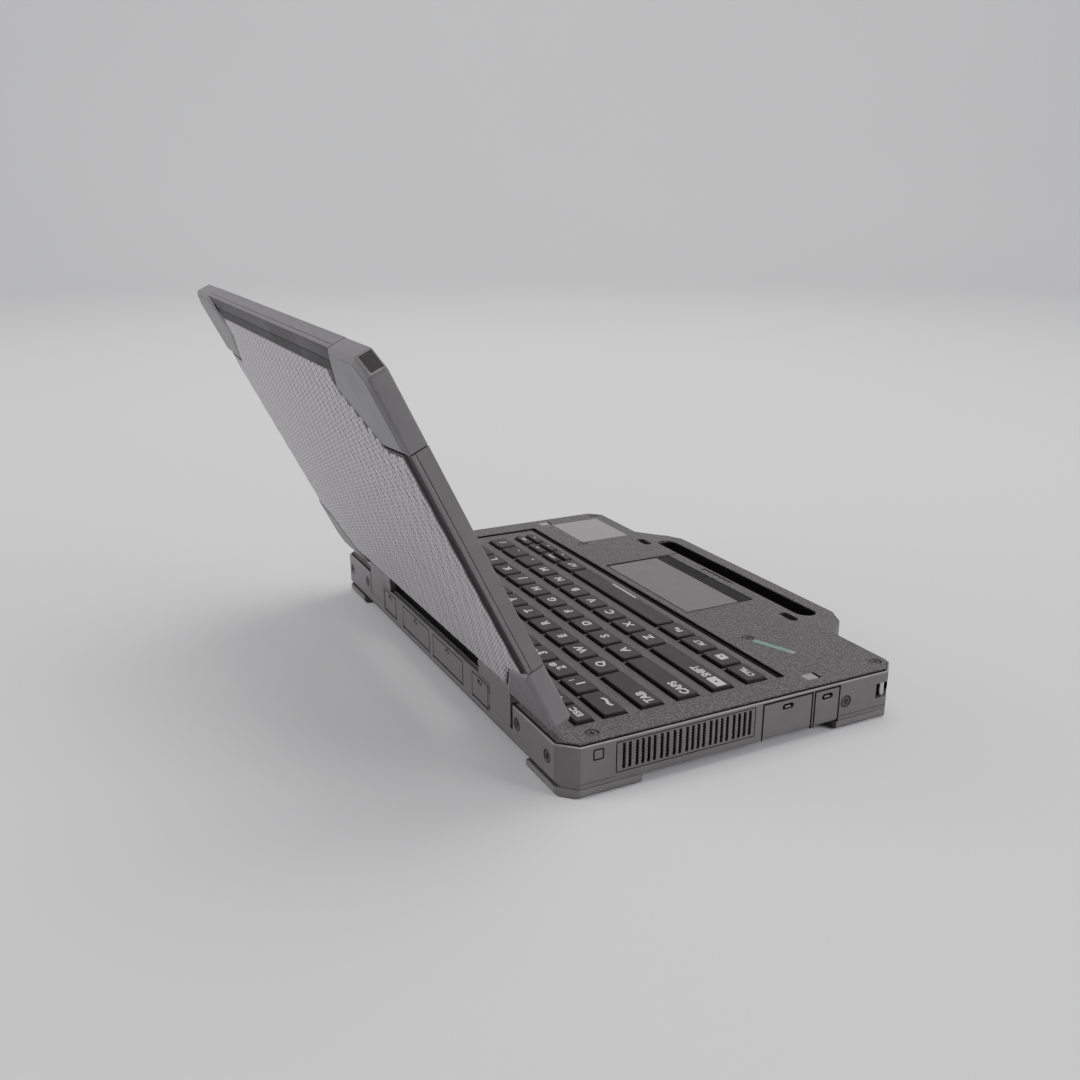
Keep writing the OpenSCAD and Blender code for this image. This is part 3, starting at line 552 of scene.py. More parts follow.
def flat(points, shape):
    """One flat face of ink."""
    verts, faces = shape
    base = len(verts)
    verts.extend((x, y, INK_Z) for x, y in points)
    faces.append([base + i for i in range(len(points))])


def rect(x0, y0, x1, y1, shape):
    flat([(x0, y0), (x1, y0), (x1, y1), (x0, y1)], shape)


def arc_band(cx, cy, r, w, a0, a1, shape, steps=12):
    """A bent stroke from angle a0 to a1."""
    for i in range(steps):
        a, b = (math.radians(a0 + (a1 - a0) * k / steps) for k in (i, i + 1))
        flat([(cx + q * math.cos(t), cy + q * math.sin(t))
              for q, t in ((r, a), (r + w, a), (r + w, b), (r, b))], shape)


def ink_piece(node, shape):
    """The legends of a node's keys as one piece that moves with them."""
    piece(node + "_legends", body_of_node(node), "legend", shape)


LETTER, WORD, SMALL = 4.5, 4.3, 2.6
NUMBERS = [("1", "!"), ("2", "@"), ("3", "#"), ("4", "$"), ("5", "%"), ("6", "^"),
           ("7", "&"), ("8", "*"), ("9", "("), ("0", ")"), ("-", "_"), ("=", "+")]


def number_legends():
    shape = [], []
    (cx, cy), *others = key_centres("keys_number_row")
    lettering("~", 9.5, cx - 0.6, cy - 0.6, shape, bold=0.012)
    for (cx, cy), (main, upper) in zip(others, NUMBERS):
        lettering(main, LETTER, cx - 0.6, cy - 0.4, shape)
        lettering(upper, SMALL, cx + 4.1, cy + 1.7, shape, bold=0.04)
    ink_piece("keys_number_row", shape)


WORD_X, SHIFT_X = -124.4, -113.7


def letters(centres, text, shape):
    """One letter on each key."""
    for (cx, cy), letter in zip(centres, text):
        lettering(letter, LETTER, cx, cy - 0.1, shape)


def letter_row(node, first, first_width, text, last):
    """Letters along a row whose first key carries a word of that width."""
    shape = [], []
    centres = key_centres(node)
    lettering(first, WORD, WORD_X, centres[0][1], shape, align="LEFT", width=first_width)
    letters(centres[1:], text, shape)
    lettering(last, SMALL, *centres[-1], shape)
    ink_piece(node, shape)


def block_mark(x0, x1, y0, y1, hole, shape):
    """A solid light block left clear over the small rectangle hole."""
    hx0, hx1, hy0, hy1 = hole
    rect(x0, y0, x1, hy0, shape)
    rect(x0, hy1, x1, y1, shape)
    rect(x0, hy0, hx0, hy1, shape)
    rect(hx1, hy0, x1, hy1, shape)


def shift_legends():
    shape = [], []
    centres = key_centres("keys_shift_row")
    cy = centres[0][1]
    block_mark(-124.6, -115.4, cy - 2.7, cy + 2.3, (-120.9, -119.3, cy - 0.9, cy + 0.7),
               shape)
    lettering("SHIFT", WORD, SHIFT_X, cy, shape, align="LEFT", width=11.9)
    letters(centres[1:], "ZXCVBNM,./", shape)
    ink_piece("keys_shift_row", shape)


def bottom_legends():
    shape = [], []
    for (cx, cy), word in zip(key_centres("keys_bottom_row"),
                              ("CTRL", "", "ALT", "Fn", "ALT")):
        if word:
            lettering(word, 3.2, cx - 0.8, cy, shape, width=2.1 * len(word) + 1.0)
        else:
            block_mark(cx - 3.2, cx + 2.4, cy - 2.2, cy + 2.2,
                       (cx - 0.6, cx + 1.0, cy - 1.0, cy + 0.5), shape)
    ink_piece("keys_bottom_row", shape)


def function_legends():
    shape = [], []
    for i, (cx, cy) in enumerate(key_centres("keys_function_row")):
        lettering("F%d" % i if i else "ESC", 3.1, cx, cy, shape, stretch=1.25)
    ink_piece("keys_function_row", shape)


def power_legend():
    shape = [], []
    cx, cy = key_centres("power_button")[0]
    arc_band(cx, cy - 0.2, 1.5, 0.42, 120, 420, shape)
    rect(cx - 0.2, cy, cx + 0.2, cy + 2.1, shape)
    ink_piece("power_button", shape)


def space_legend():
    shape = [], []
    rect(-13.2, -24.75, 11.5, -23.95, shape)
    ink_piece("space_bar", shape)


def arrow_legends():
    shape = [], []
    for rear, marks in ((ARROW_REAR, ("HOME", "up", "END")),
                        (ARROW_FRONT, ("left", "down", "right"))):
        for key, mark in zip(ARROWS, marks):
            cx, cy = key_box(key, rear, ARROW_DEPTH)[:2]
            turn = {"up": 90, "down": -90, "left": 180, "right": 0}.get(mark)
            if turn is None:
                lettering(mark, 1.7, cx, cy, shape)
                continue
            flat([(cx + 1.1 * math.cos(math.radians(turn + a)),
                   cy + 1.1 * math.sin(math.radians(turn + a))) for a in (0, 125, 235)],
                 shape)
    ink_piece("arrow_keys", shape)


def keyboard():
    for node in KEY_ROWS:
        keycaps(node)
    number_legends()
    letter_row("keys_tab_row", "TAB", 11.0, "QWERTYUIOP", "[ ]")
    letter_row("keys_caps_row", "CAPS", 13.2, "ASDFGHJKL", "ENTER")
    shift_legends()
    bottom_legends()
    function_legends()
    power_legend()
    space_legend()
    arrow_legends()


# ---- Lid ----
RIB_PITCH, RIB_HEIGHT = 4.55, 0.7
RIB_WAVE, RIB_SWAY = 13.0, 0.6
RIB_STEP, RIB_START_GAP, RIB_END_GAP = 1.6, 0.6, 1.4
PANEL_X, PANEL_V0, PANEL_V1 = 136.9, 9.8, 164.6
# Inner edges of the corner bumpers: (distance from the middle, distance along the lid)
NEAR_BUMPER = [(95.5, 4.0), (120.0, 28.0), (HALF_W, 36.0)]
FAR_BUMPER = [(90.5, 156.0), (117.0, 134.5), (HALF_W, 137.0)]


def edge_at(line, x, default):
    """How far along the lid a bumper's edge lies at x, or default if it isn't there."""
    for (x0, v0), (x1, v1) in zip(line, line[1:]):
        if x0 < x <= x1:
            return v0 + (x - x0) * (v1 - v0) / (x1 - x0)
    return default


def rib_span(x):
    """Where a rib starts and ends along the lid, clear of the corner bumpers."""
    start = edge_at(NEAR_BUMPER, abs(x), PANEL_V0)
    end = edge_at(FAR_BUMPER, abs(x), PANEL_V1)
    return max(PANEL_V0, start) + RIB_START_GAP, min(PANEL_V1, end) - RIB_END_GAP


def lid_ribs():
    """Ribs on the back of the lid that sway from side to side, so they look woven."""
    shape = verts, faces = [], []
    low, high = PANEL_TOP - 0.05, PANEL_TOP + RIB_HEIGHT
    section = [(-1.45, low), (-1.2, high - 0.25), (-0.6, high), (0.6, high),
               (1.2, high - 0.25), (1.45, low)]
    n = len(section)
    count = int(2 * PANEL_X / RIB_PITCH)
    for i in range(count):
        x = (i - (count - 1) / 2) * RIB_PITCH
        v0, v1 = rib_span(x)
        steps = max(4, int((v1 - v0) / RIB_STEP))
        base, wide = len(verts), (1.12, 0.88)[i % 2]
        for k in range(steps + 1):
            v = v0 + (v1 - v0) * k / steps
            sink = (0.4, 0.1)[min(k, steps - k)] if min(k, steps - k) < 2 else 0.0
            sway = RIB_SWAY * math.sin(2 * math.pi * v / RIB_WAVE + math.pi * (i % 2))
            verts.extend((x + dx * wide + sway, -v, max(low, w - sink)) for dx, w in section)
        for k in range(steps):
            for j in range(n - 1):
                a = base + k * n + j
                faces.append([a, a + n, a + n + 1, a + 1])
    piece("lid_ribs", "lid", "ridges", shape, LID, smooth=40)


def lid_shade_strips():
    """Dark strips between the ribs and the side edges of the lid back, painted shade in the
    groove there.
    """
    shape = [], []
    for s in (-1, 1):
        slab([(s * x, -v) for x, v in ((143.0, 37.0), (143.0, 136.4), (139.3, 136.0),
                                       (139.3, 36.2))], 2.9, 3.04, shape)
    piece("lid_shade_strips", "lid", "groove_shade", shape, LID)


def corner_marks():
    """Dark windows in the two top corners and a small slot beside the right one."""
    shape = [], []
    for s in (-1, 1):
        cx, cy = s * (HALF_W - 3.5), -(LID_LENGTH - 3.5)
        along, out = Vector((s, 1)).normalized(), Vector((s, -1)).normalized()
        outline = [Vector((cx, cy)) + along * a - out * b
                   for a, b in ((-4.2, 0.6), (-4.2, -0.04), (3.4, -0.04), (3.4, 0.6))]
        slab([tuple(p) for p in outline], -3.9, 1.2, shape)
    piece("corner_windows", "lid", "valley", shape, LID)
    shape = [], []
    slab([(92.6 + 0.9 * math.cos(a), -169.4 + 2.3 * math.sin(a))
          for a in (math.pi * i / 8 for i in range(16))], 4.0, 4.46, shape)
    piece("corner_slot", "lid", "seal", shape, LID)


def looks_back(centre, normal):
    """Whether a face lies in the back of the closed lid."""
    return normal.z > 0.9


def inner_wall(centre, normal):
    """Whether a bumper face stands upright and looks at the middle of the lid."""
    inwards = -normal.x if centre.x > 0 else normal.x
    return abs(normal.z) < 0.5 and centre.z > 1.5 and inwards > 0.3


def screen_side(centre, normal):
    """Whether a face of the bezel looks at the user or lies in the screen opening."""
    inside = (abs(centre.x) < SCREEN_X + 1
              and SCREEN_V0 - 1 < -centre.y < SCREEN_V1 + 1)
    return inside or normal.z < -0.85


def lid():
    # The cover's faces that look back get the darker paint, painted shade.
    soften("lid_back_cover", "lid", 0.5, others=[("band", looks_back)])
    # The back panel's sloping edges get painted shade.
    soften("lid_back_panel", "valley", 0.3, min_angle=8,
           others=[("groove_shade", lambda centre, normal: normal.z < 0.995)])
    lid_ribs()
    lid_shade_strips()
    for node in ("bumper_top_left", "bumper_top_right",
                 "bumper_bottom_left", "bumper_bottom_right"):
        # Bumper faces that look back get the darker finish and the inner walls near black,
        # both painted shade.
        soften(node, "bumper", 0.75, min_angle=15,
               others=[("bumper_back_shade", looks_back), ("groove_shade", inner_wall)])
    corner_marks()
    soften("screen_bezel", "lid", 0.35, others=[("bezel", screen_side)])
    camera_details()
    screen_details()


def disc(cx, cy, r, w, segments=32):
    return [(cx + r * math.cos(2 * math.pi * i / segments),
             cy + r * math.sin(2 * math.pi * i / segments), w) for i in range(segments)]


# Profiles of the camera's parts: (radius, depth behind the face of the bezel)
LENS_RING = [(1.1, 0.1), (1.5, -0.25), (2.3, -0.25), (2.5, -0.15), (2.5, 0.6)]
LENS = [(0.4, -0.12), (1.0, -0.02), (1.12, 0.2)]
LAMP, LAMP_X = [(0.6, -0.06), (0.75, 0.3)], 9
BEZEL_FACE = -4.6


def turned(profile, x, y, segments, shape):
    """A round part on the face of the bezel."""
    loft([disc(x, y, r, BEZEL_FACE + depth, segments) for r, depth in profile], shape)


def camera_details():
    """Lens ring, glass and two small lamps in the bezel above the screen."""
    y = -(LID_LENGTH + SCREEN_V1) / 2
    shape = [], []
    turned(LENS_RING, 0, y, 32, shape)
    for s in (-1, 1):
        turned(LAMP, s * LAMP_X, y, 16, shape)
    piece("webcam_ring", "lid", "dark", shape, LID, smooth=35)
    shape = [], []
    turned(LENS, 0, y, 32, shape)
    piece("webcam_lens", "lid", "glass", shape, LID, smooth=60)


def frame_strip(x0, y0, x1, y1, w, low, high, shape):
    """A rectangular ring w wide between two heights."""
    verts, faces = shape
    outer = [(x0, y0), (x1, y0), (x1, y1), (x0, y1)]
    inner = [(x0 + w, y0 + w), (x1 - w, y0 + w), (x1 - w, y1 - w), (x0 + w, y1 - w)]
    base = len(verts)
    for z in (low, high):
        verts.extend((x, y, z) for x, y in outer)
        verts.extend((x, y, z) for x, y in inner)
    for i in range(4):
        j = (i + 1) % 4
        faces.append([base + i, base + j, base + 8 + j, base + 8 + i])
        faces.append([base + 4 + j, base + 4 + i, base + 12 + i, base + 12 + j])
        faces.append([base + 8 + i, base + 8 + j, base + 12 + j, base + 12 + i])
        faces.append([base + j, base + i, base + 4 + i, base + 4 + j])


def screen_details():
    """Rubber seal round the screen."""
    shape = [], []
    x, v0, v1 = SCREEN_X - 0.1, SCREEN_V0 + 0.1, SCREEN_V1 - 0.1
    frame_strip(-x, -v1, x, -v0, 1.4, -3.1, -3.45, shape)
    piece("screen_seal", "lid", "dark", shape, LID)


# ---- Base ----
def stadium(cx, cy, length, width, steps=10):
    """Outline of a slot with round ends lying along x."""
    points = []
    for s, start in ((1, -90), (-1, 90)):
        for i in range(steps + 1):
            a = math.radians(start + 180 * i / steps)
            points.append((cx + s * (length - width) / 2 + width / 2 * math.cos(a),
                           cy + width / 2 * math.sin(a)))
    return points


def slab(outline, low, high, shape, inset=0.0):
    """A plate with that outline; inset draws its top in towards its centre."""
    n = len(outline)
    cx, cy = sum(p[0] for p in outline) / n, sum(p[1] for p in outline) / n
    reach = max(max(abs(p[0] - cx), abs(p[1] - cy)) for p in outline)
    k = 1 - inset / reach
    loft([[(x, y, low) for x, y in outline],
          [(cx + (x - cx) * k, cy + (y - cy) * k, high) for x, y in outline]], shape)


def fence(outline, low, high):
    """The shape of an upright strip along a closed outline."""
    n = len(outline)
    return ([(x, y, z) for z in (low, high) for x, y in outline],
            [[i, (i + 1) % n, (i + 1) % n + n, i + n] for i in range(n)])


def box(x0, y0, x1, y1, low, high, shape, inset=0.0):
    """A rectangular plate between two heights."""
    slab([(x0, y0), (x1, y0), (x1, y1), (x0, y1)], low, high, shape, inset)


GRIP_R, GRIP_X = 6.7, 65.3
WEB_RISE = 0.8  # how much higher the web between the keys lies than in the CAD


def raised_web():
    """The web between the keys, a little closer to the tops of the keys."""
    mesh = NODES["keyboard_frame"].data.copy()
    mesh.materials.clear()
    for v in mesh.vertices:
        if v.co.z > WEB_TOP * MM - 0.0002:
            v.co.z += WEB_RISE * MM
    obj = finish_piece("keyboard_web", "base", "web", mesh)
    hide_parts("keyboard_frame")


def handle_liner(steps=12):
    """Black lining inside the finger gap of the handle."""
    r, y = GRIP_R - 0.1, -HALF_D - GRIP_R
    outline = []
    for s, start in ((1, 90), (-1, -90)):
        for i in range(steps + 1):
            a = math.radians(start - 180 * i / steps)
            outline.append((s * GRIP_X + r * math.cos(a), y + r * math.sin(a)))
    piece("handle_liner", "base", "seal", fence(outline, 12.2, 22.0),
          smooth=35)


TRAY = (-128.6, -33.6, 128.6, 78.8)  # left, front, right, rear of the keyboard tray


def tray_shade():
    """Black sheets on the keyboard tray's walls and in the gap in front of the keys, painted
    shade.
    """
    shape = [], []
    frame_strip(*TRAY, 0.36, 22.7, 24.75, shape)
    left, front, right, _ = TRAY
    top = WEB_TOP + WEB_RISE
    box(left + 0.3, front + 0.3, right - 0.3, front + 2.7, top - 0.1, top + 0.07, shape)
    piece("tray_shade", "base", "seal", shape)


PAD = (-42.4, -73.5, 42.4, -37.7)  # left, front, right, rear
PAD_BUTTONS = (-42.2, -81.5, 42.2, -74.1)


def pad_outlines():
    """Dark lines round the touchpad and round its buttons."""
    shape = [], []
    low, high = DECK_Z - 0.5, DECK_Z - 0.17
    frame_strip(*PAD, 0.9, low, high, shape)
    frame_strip(*PAD_BUTTONS, 0.55, low, high, shape)
    box(-0.35, PAD_BUTTONS[1] + 0.3, 0.35, PAD_BUTTONS[3] - 0.3, low, high, shape)
    piece("pad_outlines", "base", "seal", shape)


SHADE_INSET, CORNER_CUT = 1.3, 8.0


def deck_edge_shade():
    """Dark strip between the rim of the case and the deck, painted shade."""
    outline = []
    x, y = HALF_W - SHADE_INSET, HALF_D - SHADE_INSET
    c = CORNER_CUT - SHADE_INSET * (2 - math.sqrt(2))
    for sx, sy in ((1, 1), (-1, 1), (-1, -1), (1, -1)):
        pair = [(sx * x, sy * (y - c)), (sx * (x - c), sy * y)]
        outline.extend(pair if sx * sy > 0 else pair[::-1])
    piece("deck_edge_shade", "base", "seal", fence(outline, 23.7, 24.3))


HOOK_X = 71.0


def hook_ramps():
    """Smooth ramps that lead the lid hooks into their recesses."""
    shape = verts, faces = [], []
    for s in (-1, 1):
        x0, x1 = s * HOOK_X - 6.0, s * HOOK_X - 4.3
        base = len(verts)
        for y in (-84.6, -80.0):
            verts.extend([(x0, y, DECK_Z - 0.15), (x1, y, 22.9), (x1, y, 21.6),
                          (x0, y, 21.6)])
        faces.extend([[base, base + 1, base + 5, base + 4],
                      [base + 1, base + 2, base + 6, base + 5]])
    piece("hook_ramps", "base", "patch", shape)


COVER_X = 59.3


def cover_shadow():
    """Black strip on the deck along the rear of the hinge cover, a painted shadow."""
    shape = [], []
    box(-COVER_X, 86.2, COVER_X, 87.9, DECK_Z - 0.3, DECK_Z + 0.3, shape, 0.15)
    piece("cover_shadow", "base", "seal", shape)


PATCH_X = (131.2, 136.8)


def rub_patches():
    """Rubbed patches beside the keyboard, each ending in a dark step."""
    for name, mat, y0, y1, high in (("rub_patches", "patch", -46.6, -40.4, 25.05),
                                    ("rub_steps", "seal", -47.9, -46.9, 25.22)):
        shape = [], []
        for s in (-1, 1):
            x0, x1 = sorted(s * x for x in PATCH_X)
            box(x0, y0, x1, y1, 24.8, high, shape)
        piece(name, "base", mat, shape)


LABEL = (108.1, -63.5, 20.5, 16.4)  # centre x and y, half width, half depth
STRIP_START, STRIP_END, STRIP_TIP = (-88.4, -46.2), (-109.9, -54.5), 3.4


def palm_label():
    """Blank label on the right palm rest and the coloured strip on the left."""
    shape = [], []
    slab([p[:2] for p in ring(*LABEL, 1.2, 0)], DECK_Z - 0.02, DECK_Z + 0.12, shape, 0.1)
    piece("palm_label", "base", "label", shape)
    a, b, w = Vector(STRIP_START), Vector(STRIP_END), 1.6
    along = (b - a).normalized()
    side = Vector((-along.y, along.x))
    tip = b - along * STRIP_TIP
    for name, p, q, mat in (("palm_strip", a, tip, "teal"),
                            ("palm_strip_end", tip, b, "label")):
        shape = [], []
        outline = [p - side * w, q - side * w, q + side * w, p + side * w]
        slab([tuple(o) for o in outline][::-1], DECK_Z - 0.02, DECK_Z + 0.06, shape)
        piece(name, "base", mat, shape)


WINDOW_X, WINDOW_Y, MARK_PITCH = -2.2, -85.6, 2.7


def status_marks():
    """Dark generic strokes along the light window."""
    shape = [], []
    for i in range(9):
        x = WINDOW_X + (i - 4) * MARK_PITCH
        tall = (0.55, 0.9)[i % 2]
        box(x - 0.35, WINDOW_Y - tall, x + 0.35, WINDOW_Y + tall, DECK_Z - 0.8,
            DECK_Z - 0.68, shape)
    piece("status_marks", "base", "seal", shape)


# Walls of the base: (a point on the face, direction across, direction outwards)
WALLS = {"left": ((-HALF_W, 0, 0), (0, -1, 0), (-1, 0, 0)),
         "right": ((HALF_W, 0, 0), (0, 1, 0), (1, 0, 0)),
         "rear": ((0, HALF_D, 0), (-1, 0, 0), (0, 1, 0))}


def on_wall(wall):
    """Matrix from (across, up, outwards) to the frame, for one wall of the base."""
    origin, across, out = WALLS[wall]
    up = (0, 0, 1)
    rows = [(across[i], up[i], out[i], origin[i] * MM) for i in range(3)]
    return Matrix(rows + [(0, 0, 0, 1)])


# Port doors: node, wall, centre across the wall, width, height of the hinge axis,
# recess length, recess height, distance of the recess below the top edge
DOOR_TOP = 22.1
DOORS = [("side_door_small", "left", 46.0, 13.4, 6.35, 6.4, 3.0, 3.2),
         ("side_door_large", "left", 23.6, 26.6, 6.35, 6.4, 3.0, 3.2),
         ("right_door", "right", -23.6, 26.6, 6.35, 6.4, 3.0, 3.2),
         ("rear_door_1", "rear", 61.8, 17.4, 11.35, 5.0, 2.2, 1.9),
         ("rear_door_2", "rear", 22.0, 38.0, 11.35, 5.0, 2.2, 1.9),
         ("rear_door_3", "rear", -22.0, 38.0, 11.35, 5.0, 2.2, 1.9),
         ("rear_door_4", "rear", -61.8, 17.4, 11.35, 5.0, 2.2, 1.9)]


def door_pull(node, wall, across, length, height, drop):
    """Black finger recess with a light bar, at the top of a port door."""
    up = DOOR_TOP - drop
    shape = [], []
    slab(stadium(across, up, length - 0.06, height - 0.06), -0.98, -0.80, shape)
    piece(node + "_pull", node, "seal", shape, on_wall(wall))
    shape = [], []
    slab(stadium(across, up - 0.05 * height, length * 0.56, height * 0.32), -0.82, -0.2,
         shape, 0.12)
    piece(node + "_bar", node, "bumper", shape, on_wall(wall), smooth=35)


def door_seal(name, wall, across, width, axis_z):
    """Black rubber line round the sides and the top of a door's window."""
    inner, outer = width / 2 + 0.06, width / 2 + 0.85
    if wall == "rear":
        outer = width / 2 + 0.42
    low, top = axis_z - 1.6, DOOR_TOP + 0.06
    shape = [], []
    for x0, x1, y0, y1 in ((-outer, -inner, low, top), (inner, outer, low, top),
                           (-outer, outer, top, top + outer - inner)):
        box(across + x0, y0, across + x1, y1, -0.3, 0.03, shape)
    piece(name, "base", "seal", shape, on_wall(wall))


def doors():
    for node, wall, across, width, axis_z, length, height, drop in DOORS:
        door_pull(node, wall, across, length, height, drop)
        door_seal(node + "_seal", wall, across, width, axis_z)
        soften(node, "case", 0.28, steps=2)


def wall_lines(name, wall, bars):
    """Thin dark lines on a wall, each (left, right, bottom, top) across and up."""
    shape = [], []
    for x0, x1, y0, y1 in bars:
        box(x0, y0, x1, y1, -0.2, 0.025, shape)
    piece(name, "base", "seal", shape, on_wall(wall))


SEAM_Z = 6.9
VENT = (-65.0, 5.3, 8.7, 22.2)  # left, right, bottom, top of the frame round the slots


def wall_details():
    """Seams, notches and screw rims of the side and rear walls."""
    x0, x1, z0, z1 = VENT
    line = 0.3
    wall_lines("left_lines", "left", [
        (x0 - line, x0, z0, z1), (x1, x1 + line, z0, z1), (x0, x1, z0 - line, z0),
        (x0, x1, z1, z1 + line),
        (53.8, 82.0, SEAM_Z, SEAM_Z + 0.16), (-82.0, x0 - 0.6, SEAM_Z, SEAM_Z + 0.16)])
    wall_lines("right_lines", "right", [
        (-82.0, -38.0, SEAM_Z, SEAM_Z + 0.16), (-9.5, 82.0, SEAM_Z, SEAM_Z + 0.16)])
    bars = [(-135.6, 135.6, SEAM_Z, SEAM_Z + 0.16)]
    for s in (-1, 1):
        for low, high in ((19.0, 22.6), (10.4, 13.4)):
            bars.append((s * 72.3 - 0.28, s * 72.3 + 0.28, low, high))
    wall_lines("rear_lines", "rear", bars)
    rims = [("left", 57.4, 13.8), ("right", -57.4, 13.8)]
    rims += [("rear", s * x, z) for s in (-1, 1) for x, z in ((130, 15.7), (101.5, 17.0))]
    for i, (wall, across, up) in enumerate(rims):
        shape = [], []
        loft([disc(across, up, 2.72, -0.6), disc(across, up, 2.72, 0.02),
              disc(across, up, 3.0, 0.02), disc(across, up, 3.0, -0.2)], shape)
        verts, faces = shape
        piece("screw_rim_%d" % i, "base", "seal", (verts, faces[1:-1]),
              on_wall(wall))


def square_mark():
    """Dark rounded square ring at the rear of the left wall."""
    outer = ring(-73.7, 19.2, 2.55, 2.55, 0.9, 0.02, 5)
    inner = ring(-73.7, 19.2, 1.9, 1.9, 0.4, 0.02, 5)
    verts, n = outer + inner, len(outer)
    faces = [[i, (i + 1) % n, n + (i + 1) % n, n + i] for i in range(n)]
    piece("square_mark", "base", "seal", (verts, faces), on_wall("left"))


SLOT_GROUPS, SLOT_PITCH, GROUP_EXTRA, SLOT_START = (4, 4, 4, 2, 2, 4, 2), 2.88, 0.62, 2.6
FIN_ENDS, FIN_END_Z, FIN_END_PITCH = 7, 11.0, 1.4


def slot_places():
    """Centres of the vent slots along the left wall, measured across it."""
    places, count = [], 0
    for g, number in enumerate(SLOT_GROUPS):
        for _ in range(number):
            places.append(SLOT_START - count * SLOT_PITCH - g * GROUP_EXTRA)
            count += 1
    return places


def vent_details():
    """Black backing and rims of the vent slots and the short fin ends inside them."""
    shape = [], []
    for across in slot_places():
        box(across - 0.8, 10.3, across + 0.8, 21.1, -1.58, -1.5, shape)
        for z0, z1 in ((9.75, 10.7), (20.7, 21.5)):
            box(across - 0.72, z0, across + 0.72, z1, -0.2, 0.02, shape)
    piece("vent_backing", "base", "seal", shape, on_wall("left"))
    shape = [], []
    for across in slot_places():
        for i in range(FIN_ENDS):
            z = FIN_END_Z + i * FIN_END_PITCH
            slab([(across - 0.78, z), (across - 0.2, z + 0.4), (across - 0.2, z + 1.0),
                  (across - 0.78, z + 0.6)], -1.52, -0.5, shape)
    piece("vent_fin_ends", "base", "fin_ends", shape, on_wall("left"))


def strap_notches():
    """Dark inner faces of the two strap notches at the front corners."""
    shape = verts, faces = [], []
    for s in (-1, 1):
        x, y, z0, z1 = s * 136.5, -75.85, 11.05, 18.35
        outer_x, outer_y = s * 143.6, -89.9
        base = len(verts)
        verts.extend([(x, outer_y, z0), (x, y, z0), (x, y, z1), (x, outer_y, z1),
                      (outer_x, y, z0), (outer_x, y, z1)])
        faces.extend([[base, base + 1, base + 2, base + 3],
                      [base + 1, base + 4, base + 5, base + 2]])
    piece("strap_notches", "base", "seal", shape)


def case_rim_highlight(centre, normal):
    """Whether a face lies on the top edge of the bottom case, which gets a lighter copy of
    the paint as a painted highlight.
    """
    return centre.z > 22.9 and 0.1 < normal.z < 0.98


def base():
    # The case's top edge gets the lighter paint, a painted highlight.
    soften("bottom_case", "case", 0.5, others=[("rim", case_rim_highlight)])
    soften("top_deck", "deck", 0.35)
    soften("carry_handle", "deck", 0.9)
    soften("corner_feet", "foot", 0.5)
    soften("hinge_mount_left", "case", 0.4)
    soften("hinge_mount_right", "case", 0.4)
    soften("service_cover", "case", 0.3)
    raised_web()
    handle_liner()
    tray_shade()
    pad_outlines()
    deck_edge_shade()
    hook_ramps()
    cover_shadow()
    rub_patches()
    palm_label()
    status_marks()
    wall_details()
    square_mark()
    vent_details()
    strap_notches()


def cad_finishes():
    """Finishes for the CAD nodes that are shown as they are."""
    for mat, nodes in {
        "deck": ["touchpad_frame"],
        "seal": ["hinge_cover"],
        "dark": ["keyboard_backplate", "fan_housing", "fan_rotor", "speakers",
                 "side_port_sockets", "rear_port_sockets", "battery_latch",
                 "solid_state_drive"],
        "pad": ["touchpad_surface"],
        "pad_key": ["touchpad_button_left", "touchpad_button_right"],
        "led": ["status_light_bar"],
        "screw": ["case_screws"],
        "case": ["vent_grille"],
        "steel": ["strap_posts", "door_hinge_pins", "lid_hinge_shafts",
                  "lid_hinge_arms", "lid_hooks"],
        "fins": ["heatsink_fins"],
        "copper": ["heat_pipe"],
        "board": ["motherboard", "memory_module"],
        "battery": ["battery_pack"],
        "glass": ["screen_glass", "webcam_module"],
        "display": ["display_panel"],
    }.items():
        for node in nodes:
            dress(node, mat)


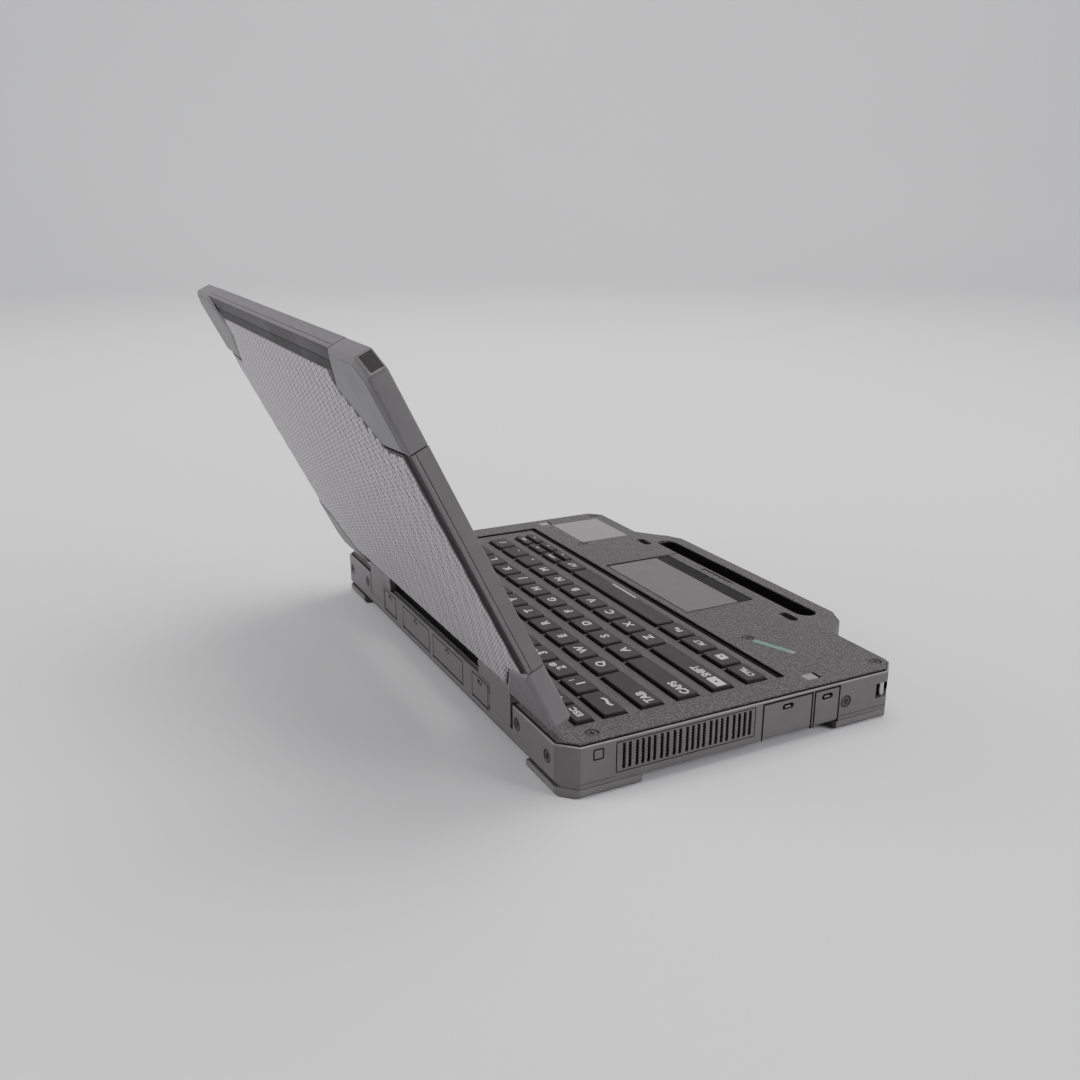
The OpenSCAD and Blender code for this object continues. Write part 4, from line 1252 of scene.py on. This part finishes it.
# ---- Floor, light and camera ----
def floor():
    """Plain pale paper that curves up into a backdrop all round."""
    profile = [(0.0, 0.0), (2.4, 0.0)]
    profile += [(2.4 + 1.0 * math.sin(math.radians(a)), 1.0 - math.cos(math.radians(a)))
                for a in range(6, 91, 6)]
    profile.append((3.4, 2.6))
    sides = 96
    verts, faces = [(0, 0, 0)], []
    for r, z in profile[1:]:
        for i in range(sides):
            a = 2 * math.pi * i / sides
            verts.append((r * math.cos(a), r * math.sin(a), z))
    for i in range(sides):
        j = (i + 1) % sides
        faces.append([0, 1 + i, 1 + j])
        for k in range(len(profile) - 2):
            a, b = 1 + k * sides + i, 1 + k * sides + j
            faces.append([a, a + sides, b + sides, b])
    mesh = bpy.data.meshes.new("floor")
    mesh.from_pydata(verts, [], faces)
    mesh.polygons.foreach_set("use_smooth", [True] * len(mesh.polygons))
    made, tree, shader, coords = material("floor_paper")
    tone = noise(tree, coords, 900, 2.0)
    link(tree, mix_colour(tree, tone, (0.62, 0.62, 0.63), (0.68, 0.68, 0.69)),
         shader.inputs["Base Color"])
    shader.inputs["Roughness"].default_value = 0.9
    mesh.materials.append(made)
    obj = bpy.data.objects.new("floor", mesh)
    bpy.context.scene.collection.objects.link(obj)


def area_light(name, place, target, size, power):
    """A square lamp of that size at a place, aimed at a target."""
    data = bpy.data.lights.new(name, "AREA")
    data.size = size
    data.energy = power
    obj = bpy.data.objects.new(name, data)
    obj.location = place
    obj.rotation_mode = "QUATERNION"
    aim = Vector(target) - Vector(place)
    obj.rotation_quaternion = aim.to_track_quat("-Z", "Y")
    bpy.context.scene.collection.objects.link(obj)


def lights():
    world = bpy.data.worlds.new("studio")
    world.use_nodes = True
    sky = world.node_tree.nodes["Background"].inputs
    sky["Color"].default_value = (0.93, 0.94, 1.0, 1)
    sky["Strength"].default_value = 0.40
    bpy.context.scene.world = world
    area_light("rear_key", (0.45, 1.55, 0.75), (0.0, 0.05, 0.08), 0.9, 21)
    area_light("side_key", (-1.30, -0.95, 0.65), (-0.05, 0.0, 0.03), 0.8, 19)
    area_light("top_soft", (0.1, -0.35, 1.5), (0.0, 0.0, 0.0), 1.2, 22)
    area_light("backdrop", (0.9, -0.45, 1.9), (3.0, -1.5, 0.5), 1.6, 45)


def camera():
    data = bpy.data.cameras.new("camera")
    data.lens = 36.62
    data.sensor_width = 36.0
    data.clip_start, data.clip_end = 0.01, 20
    obj = bpy.data.objects.new("camera", data)
    obj.location = (-0.48944, 0.27554, 0.24003)
    obj.rotation_mode = "QUATERNION"
    look = Vector((0.8488644, -0.4300555, -0.3073784))
    obj.rotation_quaternion = look.to_track_quat("-Z", "Y")
    bpy.context.scene.collection.objects.link(obj)
    bpy.context.scene.camera = obj


base()
doors()
keyboard()
lid()
cad_finishes()
floor()
lights()
camera()
